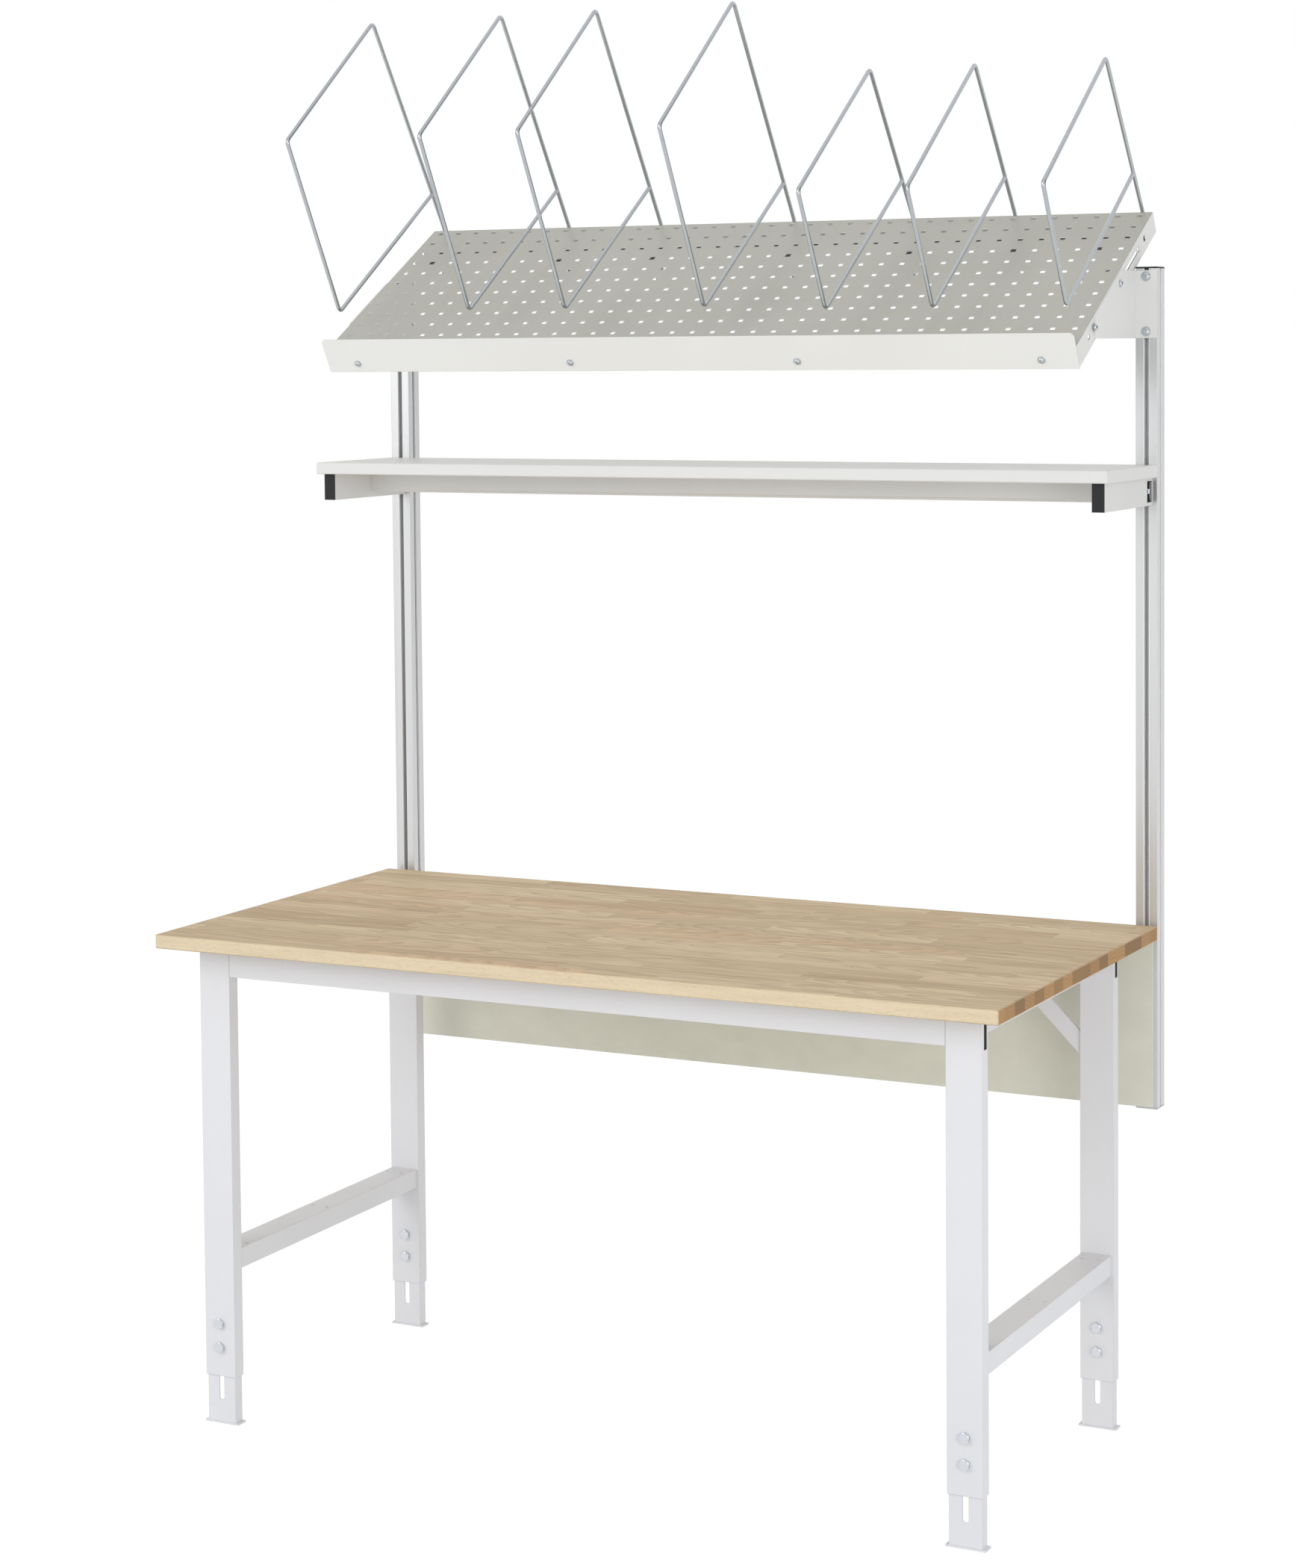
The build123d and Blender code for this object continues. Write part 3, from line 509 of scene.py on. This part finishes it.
def bend_wire(name, corners, bends, radius):
    """Round wire through the corners, each rounded to its own bend radius."""
    select_none()
    way = (corners[1] - corners[0]).normalized()
    bpy.ops.mesh.primitive_circle_add(
        vertices=WIRE_SIDES,
        radius=radius,
        location=corners[0],
        rotation=way.to_track_quat("Z", "Y").to_euler(),
    )
    wire = bpy.context.active_object
    wire.name = name
    apply_place(wire)
    edit_all()
    here = corners[0]
    for corner, after, bend in zip(corners[1:-1], corners[2:], bends):
        onward = (after - corner).normalized()
        turn = way.angle(onward)
        setback = bend * math.tan(turn / 2)
        start = corner - way * setback
        draw_out(start - here)
        inward = (onward - way * way.dot(onward)).normalized()
        bpy.ops.mesh.spin(
            steps=max(3, round(math.degrees(turn) / BEND_STEP_DEGREES)),
            angle=-turn,
            center=start + inward * bend,
            axis=way.cross(onward).normalized(),
        )
        here = corner + onward * setback
        way = onward
    draw_out(corners[-1] - here)
    bpy.ops.mesh.select_all(action="SELECT")
    bpy.ops.mesh.remove_doubles(threshold=0.01 * MM)
    bpy.ops.mesh.fill_holes(sides=0)
    close_up(40)
    return wire


def turned(name, rings, sides=32):
    """A round piece along Z, closed at both ends: a circle drawn out through rings of (radius,
    height)."""
    select_none()
    radius, height = rings[0]
    bpy.ops.mesh.primitive_circle_add(
        vertices=sides, radius=radius, location=(0, 0, height), fill_type="NGON"
    )
    piece = bpy.context.active_object
    piece.name = name
    apply_place(piece)
    edit_all()
    for next_radius, next_height in rings[1:]:
        draw_out((0, 0, next_height - height))
        grow = next_radius / radius
        bpy.ops.transform.resize(value=(grow, grow, 1), center_override=(0, 0, 0))
        radius, height = next_radius, next_height
    close_up(35)
    return piece


def hexagon_head(name, flats, height, shank_radius, shank_length):
    """A hexagon bolt along Z, the underside of its chamfered head at zero, with its shank."""
    select_none()
    corner = flats / math.sqrt(3)
    bpy.ops.mesh.primitive_cylinder_add(
        vertices=6, radius=corner, depth=height, location=(0, 0, height / 2)
    )
    head = bpy.context.active_object
    head.name = name
    apply_place(head)
    around, chamfer_start = corner * 1.02, height * 0.82
    cone_rings = [(around, -height), (around, chamfer_start), (corner * 0.84, height * 1.001)]
    cone = turned(name + "_cone", cone_rings)
    bpy.context.view_layer.objects.active = head
    cut = head.modifiers.new("turned chamfer", "BOOLEAN")
    cut.operation = "INTERSECT"
    cut.solver = "EXACT"
    cut.object = cone
    bpy.ops.object.modifier_apply(modifier=cut.name)
    bpy.data.objects.remove(cone)
    shank_rings = [
        (shank_radius * 0.8, -shank_length),
        (shank_radius, 1.5 * MM - shank_length),
        (shank_radius, 1 * MM),
    ]
    shank = turned(name + "_shank", shank_rings, sides=20)
    return merged([head, shank])


def washer_plate(name, width, height, thickness):
    """A square-cut plate in the plane of X and Y with softened edges, its underside at zero."""
    select_none()
    bpy.ops.mesh.primitive_plane_add(size=1, location=(0, 0, 0))
    plate = bpy.context.active_object
    plate.name = name
    plate.scale = (width, height, 1)
    apply_place(plate)
    edit_all()
    draw_out((0, 0, thickness))
    bpy.ops.mesh.select_all(action="SELECT")
    bpy.ops.mesh.normals_make_consistent(inside=False)
    bpy.ops.mesh.bevel(offset=thickness * 0.3, segments=2, affect="EDGES")
    close_up(35)
    return plate


def merged(pieces):
    """Joins pieces into the first of them."""
    select_none()
    for piece in pieces:
        piece.select_set(True)
    bpy.context.view_layer.objects.active = pieces[0]
    bpy.ops.object.join()
    return bpy.context.active_object


def set_out(pattern, name, places, facing):
    """Turns copies of a pattern along Z to a direction and joins them. The pattern itself goes."""
    turn = Vector(facing).to_track_quat("Z", "Y").to_matrix().to_4x4()
    copies = []
    for place in places:
        select_none()
        copy = pattern.copy()
        copy.data = pattern.data.copy()
        bpy.context.collection.objects.link(copy)
        copy.matrix_world = Matrix.Translation(place) @ turn
        apply_place(copy)
        copies.append(copy)
    bpy.data.objects.remove(pattern)
    piece = merged(copies)
    piece.name = name
    return piece


def linear(colour):
    """Screen colour, as the sidebar shows it, to scene light."""
    return tuple(c / 12.92 if c <= 0.04045 else ((c + 0.055) / 1.055) ** 2.4 for c in colour)


def colour_property(name, description, default):
    return bpy.props.FloatVectorProperty(
        name=name,
        description=description,
        default=default,
        subtype="COLOR_GAMMA",
        size=3,
        min=0,
        max=1,
    )


class PackingTableColours(bpy.types.PropertyGroup):
    frame_paint: colour_property("Frame paint", "Legs, rails and braces", (0.898, 0.902, 0.917))
    shelf_paint: colour_property("Shelf paint", "Shelf arms and rail", (0.875, 0.877, 0.868))
    board_face: colour_property("Board face", "Faces of the shelf board", (0.90, 0.902, 0.89))
    board_edge: colour_property("Board edging", "Edges of the shelf board", (0.885, 0.887, 0.882))
    tray_paint: colour_property("Tray paint", "Tray brackets and flanges", (0.90, 0.903, 0.894))
    lip_paint: colour_property("Lip paint", "Front lip of the tray", (0.93, 0.934, 0.925))
    # The tray face colour is painted shade, darker and warmer than the tray paint
    tray_upper_shade: colour_property("Tray face", "Upper face of the tray", (0.735, 0.733, 0.695))
    panel_paint: colour_property("Panel paint", "Back panel", (0.902, 0.904, 0.846))
    beech_pale: colour_property("Pale beech", "Lightest staves", (0.893, 0.81, 0.668))
    beech_mid: colour_property("Beech", "Middle staves", (0.822, 0.732, 0.587))
    beech_deep: colour_property("Deep beech", "Rings and dark staves", (0.694, 0.583, 0.438))
    beech_strip: colour_property("Beech strip", "Strip along the front edge", (0.89, 0.825, 0.70))
    beech_end: colour_property("Beech end", "Lighter blocks of the end grain", (0.72, 0.557, 0.36))
    aluminium: colour_property("Aluminium", "Slotted uprights", (0.852, 0.857, 0.862))
    zinc: colour_property("Zinc", "Wire dividers", (0.72, 0.742, 0.755))
    fasteners: colour_property("Fasteners", "Screws, bolts and plates", (0.79, 0.81, 0.83))
    pale_zinc: colour_property("Pale zinc", "Hexagon bolts of the legs", (0.845, 0.858, 0.88))
    grey_plastic: colour_property("Grey plastic", "Bottom caps of the bars", (0.78, 0.785, 0.79))


def length_property(name, description, millimetres):
    return bpy.props.FloatProperty(
        name=name,
        description=description,
        default=millimetres * MM,
        subtype="DISTANCE",
        unit="LENGTH",
        precision=5,
    )


def point_property(name, description, along, above):
    return bpy.props.FloatVectorProperty(
        name=name,
        description=description + ": along the tray and square to it",
        default=(along * MM, above * MM),
        size=2,
        subtype="NONE",
        unit="LENGTH",
        precision=5,
    )


class PackingTableSizes(bpy.types.PropertyGroup):
    wire: length_property("Wire", "Thickness of the dividers' wire", 7.5)
    rear_gap: length_property("Rear gap", "Between the tray's rear edge and the CAD's wire", 0.8)
    hook_along: length_property("Hook place", "Hole row that the hook's end stands in", 125.5)
    hook_drop: length_property("Hook drop", "Depth of the hook under the tray", 52)
    plug_depth: length_property("Plug depth", "Depth of the hook's end below the tray's face", 8)
    weld_rise: length_property("Weld height", "Where the loop's foot meets its rear side", 84)
    tall_top: point_property("Tall top", "Top corner of a tall divider", 230, 471)
    tall_front: point_property("Tall front", "Front corner of a tall divider", -158, 415)
    tall_foot: point_property("Tall foot", "Lower front corner of a tall divider", -164, 55)
    short_top: point_property("Short top", "Top corner of a short divider", 219, 328)
    short_front: point_property("Short front", "Front corner of a short divider", -176, 289)
    short_foot: point_property("Short foot", "Lower front corner of a short divider", -178, 55)
    sleeve: length_property("Hook sleeve", "Diameter of the sleeves on the hooks", 12)
    screw_head: length_property("Screw head", "Diameter of the tray's button heads", 10.5)
    screw_washer: length_property("Screw washer", "Diameter of the washers under them", 14)
    groove_head: length_property("Groove bolt head", "Diameter of the bracket bolts' heads", 13.5)
    groove_washer: length_property("Groove bolt washer", "Diameter of their washers", 17.5)
    clamp_flats: length_property("Clamp bolt", "Across flats of the legs' hexagon bolts", 17)


class PACKING_OT_stage(bpy.types.Operator):
    """Sets the floor, the light and the photograph's camera"""

    bl_idname = "packing.stage"
    bl_label = "Stage"

    def lay_floor(self, context):
        select_none()
        bpy.ops.mesh.primitive_plane_add(size=FLOOR_SIZE, location=(0, 0, 0))
        floor = context.active_object
        floor.name = "floor"
        ground = Finish("studio floor")
        seen = ground.ray("Camera") + ground.ray("Glossy")
        seen = seen.math("ADD", ground.ray("Transmission"), clamp=True)
        grain = ground.noise(ground.place(), 30.0)
        ground.set(Base_Color=ground.blend(grain, (0.82, 0.82, 0.82), (0.84, 0.84, 0.84)))
        ground.set(Roughness=0.9)
        matt = Value(ground, ground.shader.outputs[0])
        glow = ground.add("Emission", None, {"Color": (1, 1, 1, 1), "Strength": FLOOR_GLOW})
        lit = ground.add("MixShader", None, {0: seen * FLOOR_WHITE_SHARE, 1: matt, 2: glow})
        ground.link(lit, "Material Output", "Surface")
        floor.data.materials.append(ground.material)

    def light_room(self, context):
        world = bpy.data.worlds.new("studio")
        context.scene.world = world
        world.use_nodes = True
        room = Nodes(world.node_tree)
        x, y, z = room.axes(room.add("TexCoord", output="Generated"))
        # White to the eye, weaker from overhead, and dark in metal at both sides of the rear
        straight = room.ray("Camera") + room.ray("Transmission")
        mirrored = room.ray("Glossy")
        gap = room.between(x.math("ABSOLUTE"), 0.55, 0.78) * room.between(y, -0.12, 0.12)
        light = room.between(z, 0.0, 1.0, 1.06, 0.5)
        strength = straight + mirrored * (1 - gap * 0.95) + (1 - straight - mirrored) * light
        room.link(strength, "Background", "Strength")
        room.tree.nodes["Background"].inputs["Color"].default_value = (1, 1, 1, 1)

    def hang_lamps(self, context):
        for name, place, aim, size, power in LAMPS:
            bpy.ops.object.light_add(type="AREA", location=place)
            lamp = context.active_object
            lamp.name = name
            lamp.data.size = size
            lamp.data.energy = power
            beam = Vector(aim) - Vector(place)
            lamp.rotation_euler = beam.to_track_quat("-Z", "Y").to_euler()

    def set_camera(self, context):
        azimuth, drop, roll = (math.radians(a) for a in (CAMERA_AZIMUTH, CAMERA_DROP, CAMERA_ROLL))
        right = Vector((math.cos(azimuth), math.sin(azimuth), 0))
        level = Vector((-math.sin(azimuth), math.cos(azimuth), 0))
        ahead = level * math.cos(drop) - Vector((0, 0, math.sin(drop)))
        above = right.cross(ahead)
        rolled_right = math.cos(roll) * right + math.sin(roll) * above
        rolled_above = rolled_right.cross(ahead)
        turn = Matrix((rolled_right, rolled_above, -ahead)).transposed().to_4x4()
        bpy.ops.object.camera_add()
        camera = context.active_object
        camera.name = "photograph camera"
        camera.matrix_world = Matrix.Translation(CAMERA_PLACE) @ turn
        camera.data.sensor_width = SENSOR
        camera.data.lens = FOCAL_PIXELS * SENSOR / PHOTO_HEIGHT
        camera.data.shift_y = -AXIS_RISE_PIXELS / PHOTO_HEIGHT
        camera.data.clip_end = VIEW_END
        context.scene.camera = camera

    def execute(self, context):
        self.lay_floor(context)
        self.light_room(context)
        self.hang_lamps(context)
        self.set_camera(context)
        context.scene.view_settings.view_transform = "Standard"
        return {"FINISHED"}


class PACKING_OT_finishes(bpy.types.Operator):
    """Gives every CAD part of the bench its paint, wood, metal or plastic"""

    bl_idname = "packing.finishes"
    bl_label = "Finishes"

    def execute(self, context):
        colours = context.scene.packing_colours

        def tone(name):
            return linear(tuple(getattr(colours, name)))

        paint = tone("frame_paint")
        finish_nodes("frame_paint", powder_coat("frame paint", paint))
        jointed = powder_coat("frame paint, jointed", paint, joint=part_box("front_rail")[1].x)
        for node in ("front_rail", "rear_rail"):
            coat(frame["nodes"][node], jointed)
        for end in ("front", "rear"):
            leg = powder_coat(f"frame paint, {end} leg", paint, tube=f"leg_tube_{end}_right")
            for side in ("left", "right"):
                coat(frame["nodes"][f"leg_tube_{end}_{side}"], leg)
        paint = tone("shelf_paint")
        finish_nodes("shelf_paint", powder_coat("shelf paint", paint))
        arm = powder_coat("shelf arm paint", paint, tube="shelf_arm_right")
        for side in ("left", "right"):
            coat(frame["nodes"][f"shelf_arm_{side}"], arm)
        board = faced_board("board facing", tone("board_face"), tone("board_edge"))
        finish_nodes("board_facing", board)
        finish_nodes("tray_paint", powder_coat("tray paint", tone("tray_paint")))
        sheet = tray_sheet("tray sheet", tone("tray_paint"), tone("tray_upper_shade"))
        coat(frame["nodes"]["tray"], sheet)
        coat(frame["nodes"]["front_lip"], powder_coat("lip paint", tone("lip_paint")))
        finish_nodes("panel_paint", mottled_panel("panel paint", tone("panel_paint")))
        beech = [tone("beech_" + name) for name in ("pale", "mid", "deep", "strip", "end")]
        finish_nodes("beech", beech_board("beech", *beech))
        bar = drawn_aluminium("aluminium", tone("aluminium"), "upright_right")
        finish_nodes("aluminium", bar)
        wire = zinc_plate("zinc wire", tone("zinc"), 0.14, 0.0, 0.3, 0.002 * MM)
        finish_nodes("zinc_wire", wire)
        finish_nodes("zinc_fasteners", zinc_plate("zinc fasteners", tone("fasteners"), 0.2))
        zinc_plate("pale zinc", tone("pale_zinc"), 0.32, spangle=0.3)
        finish_nodes("black_plastic", moulded_plastic("black plastic", BLACK, WORN_BLACK))
        grey = tone("grey_plastic")
        finish_nodes("grey_plastic", moulded_plastic("grey plastic", grey, shade_of(grey, 0.93)))
        return {"FINISHED"}


class PACKING_OT_dividers(bpy.types.Operator):
    """Bends the round wire dividers that hook into the tray, and sleeves their hooks"""

    bl_idname = "packing.dividers"
    bl_label = "Wire dividers"

    def sleeve(self, name, start, way, wire, diameter):
        """A black sleeve round a wire, from a point along a direction."""
        inner, half = wire / 2 * 1.02, diameter / 2
        rings = [
            (inner, 0),
            (half - SLEEVE_EDGE, 0),
            (half, SLEEVE_EDGE),
            (half, SLEEVE_LENGTH - SLEEVE_EDGE),
            (half - SLEEVE_EDGE, SLEEVE_LENGTH),
            (inner, SLEEVE_LENGTH),
        ]
        piece = turned(name, rings, sides=24)
        turn = way.to_track_quat("Z", "Y").to_matrix().to_4x4()
        piece.matrix_world = Matrix.Translation(start) @ turn
        at_rest(piece, bpy.data.materials["black plastic"], "tray_carrier")

    def execute(self, context):
        sizes = context.scene.packing_sizes
        metal = bpy.data.materials["zinc wire"]
        rear = TRAY_REAR + sizes.rear_gap + CAD_WIRE_RADIUS
        for index in range(1, DIVIDER_COUNT + 1):
            node = f"divider_{index}"
            low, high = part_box(node)
            # The last divider is hooked to the left, so that its hook stays under the tray
            if index < DIVIDER_COUNT:
                wire_x, hook_x = low.x + CAD_WIRE_RADIUS, high.x - CAD_WIRE_RADIUS
            else:
                wire_x, hook_x = high.x - CAD_WIRE_RADIUS, low.x + CAD_WIRE_RADIUS
            kind = "tall" if high.z > TALL_ABOVE else "short"
            top, front, foot = (getattr(sizes, f"{kind}_{c}") for c in ("top", "front", "foot"))
            weld_share = (sizes.weld_rise - CAD_WIRE_RADIUS) / (top[1] - CAD_WIRE_RADIUS)
            corners = [
                on_slope(hook_x, sizes.hook_along, -sizes.plug_depth),
                on_slope(hook_x, sizes.hook_along, -sizes.hook_drop),
                on_slope(wire_x, rear, -sizes.hook_drop),
                on_slope(wire_x, rear, CAD_WIRE_RADIUS),
                on_slope(wire_x, *top),
                on_slope(wire_x, *front),
                on_slope(wire_x, *foot),
                on_slope(wire_x, rear + weld_share * (top[0] - rear), sizes.weld_rise),
            ]
            bends = (HOOK_BEND, HOOK_BEND, HOOK_BEND, WIRE_BEND, WIRE_BEND, WIRE_BEND)
            piece = bend_wire(f"wire_{node}", corners, bends, sizes.wire / 2)
            at_rest(piece, metal, "tray_carrier")
            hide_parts(node)
            run = (corners[1] - corners[2]).normalized()
            start = corners[2] + run * SLEEVE_START
            self.sleeve(f"hook_sleeve_{index}", start, run, sizes.wire, sizes.sleeve)
        return {"FINISHED"}


class PACKING_OT_fasteners(bpy.types.Operator):
    """Sets the button heads of the tray and its brackets and the hexagon bolts of shelf and legs"""

    bl_idname = "packing.fasteners"
    bl_label = "Screws and bolts"

    def button(self, name, head, washer):
        """A button head with a round socket, on a washer, and its shank."""
        disc, bar = head / 2, washer / 2
        rings = [
            (2.6 * MM, -4 * MM),
            (3.0 * MM, -3.4 * MM),
            (3.0 * MM, 0),
            (bar - 0.3 * MM, 0),
            (bar, 0.3 * MM),
            (bar, 0.9 * MM),
            (bar - 0.3 * MM, 1.2 * MM),
            (disc, 1.2 * MM),
            (disc, 1.8 * MM),
            (disc * 0.94, 2.9 * MM),
            (disc * 0.8, 3.9 * MM),
            (disc * 0.62, 4.5 * MM),
            (disc * 0.46, 4.7 * MM),
            (disc * 0.42, 4.6 * MM),
            (disc * 0.4, 2.6 * MM),
        ]
        return turned(name, rings)

    def tray_screws(self, sizes, metal):
        """The screws of the front lip and of the two bracket webs."""
        lip_face = -TRAY_FRONT - LIP_SHEET
        places = [on_slope(x, lip_face, -LIP_SCREW_DROP) for x in LIP_SCREWS_ACROSS]
        out = (0, -math.cos(TRAY_TILT), -math.sin(TRAY_TILT))
        pattern = self.button("screw", sizes.screw_head, sizes.screw_washer)
        screws = set_out(pattern, "lip_screws", places, out)
        at_rest(screws, metal, "tray_carrier")
        web = max(abs(edge.x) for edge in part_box("tray")) + BRACKET_SHEET
        for side, hand in ((1, "right"), (-1, "left")):
            places = [on_slope(side * web, along, above) for along, above in WEB_SCREWS]
            pattern = self.button("screw", sizes.screw_head, sizes.screw_washer)
            screws = set_out(pattern, f"web_screws_{hand}", places, (side, 0, 0))
            at_rest(screws, metal, "tray_carrier")

    def upright_bolts(self, sizes, metal):
        """The bolts of the brackets and of the shelf's arms, in the front grooves."""
        low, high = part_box("upright_right")
        middle = (low.x + high.x) / 2
        low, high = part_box("bracket_bolts")
        heights = (high.z - BRACKET_BOLT_INSET, low.z + BRACKET_BOLT_INSET)
        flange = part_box("tray_bracket_right")[1].y - BRACKET_SHEET
        places = [Vector((x, flange, z)) for x in (-middle, middle) for z in heights]
        pattern = self.button("bolt", sizes.groove_head, sizes.groove_washer)
        bolts = set_out(pattern, "bracket_bolt_heads", places, (0, -1, 0))
        at_rest(bolts, metal, "tray_carrier")
        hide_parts("bracket_bolts")

        low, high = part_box("shelf_bolts")
        arm_low, arm_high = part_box("shelf_arm_right")
        seat = (arm_high.y - ARM_END_PLATE, (low.z + high.z) / 2)
        places = [Vector((x, *seat)) for x in (-middle, middle)]
        head = hexagon_head("bolt", 13 * MM, 8 * MM, 4 * MM, 11 * MM)
        plate_height = arm_high.z - arm_low.z - 6 * MM
        plate = washer_plate("plate", 17 * MM, plate_height, 1.6 * MM)
        bolts = set_out(merged([head, plate]), "shelf_bolt_heads", places, (0, -1, 0))
        at_rest(bolts, metal, "shelf_carrier")
        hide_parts("shelf_bolts")

    def clamp_bolts(self, sizes, metal):
        """The two bolts low on the front face of each leg."""
        low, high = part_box("clamp_bolts")
        half = sizes.clamp_flats / 2
        centre = high.x - sizes.clamp_flats / math.sqrt(3)
        heights = (low.z + half, high.z - half)
        fronts = [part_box(f"leg_tube_{end}_right")[0].y for end in ("front", "rear")]
        places = [Vector((x, y, z)) for x in (-centre, centre) for y in fronts for z in heights]
        pattern = hexagon_head("bolt", sizes.clamp_flats, 6.4 * MM, 5 * MM, 10 * MM)
        bolts = set_out(pattern, "clamp_bolt_heads", places, (0, -1, 0))
        at_rest(bolts, metal, "frame")
        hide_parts("clamp_bolts")

    def execute(self, context):
        sizes = context.scene.packing_sizes
        metal = bpy.data.materials["zinc fasteners"]
        self.tray_screws(sizes, metal)
        self.upright_bolts(sizes, metal)
        self.clamp_bolts(sizes, bpy.data.materials["pale zinc"])
        return {"FINISHED"}


class PACKING_PT_panel(bpy.types.Panel):
    """Lists the bench's operators, sizes and colours"""

    bl_idname = "PACKING_PT_panel"
    bl_label = "Packing table"
    bl_space_type = "VIEW_3D"
    bl_region_type = "UI"
    bl_category = "Packing table"

    def draw(self, context):
        for operator in OPERATORS:
            self.layout.operator(operator.bl_idname)
        for group, names in (
            (context.scene.packing_sizes, PackingTableSizes.__annotations__),
            (context.scene.packing_colours, PackingTableColours.__annotations__),
        ):
            for name in names:
                self.layout.prop(group, name)


OPERATORS = (PACKING_OT_stage, PACKING_OT_finishes, PACKING_OT_dividers, PACKING_OT_fasteners)
CLASSES = (PackingTableColours, PackingTableSizes, *OPERATORS, PACKING_PT_panel)


def register():
    for item in CLASSES:
        bpy.utils.register_class(item)
    bpy.types.Scene.packing_colours = bpy.props.PointerProperty(type=PackingTableColours)
    bpy.types.Scene.packing_sizes = bpy.props.PointerProperty(type=PackingTableSizes)


def unregister():
    del bpy.types.Scene.packing_sizes
    del bpy.types.Scene.packing_colours
    for item in reversed(CLASSES):
        bpy.utils.unregister_class(item)


def main():
    register()
    bpy.ops.packing.stage()
    bpy.ops.packing.finishes()
    bpy.ops.packing.dividers()
    bpy.ops.packing.fasteners()


if __name__ == "__main__":
    main()
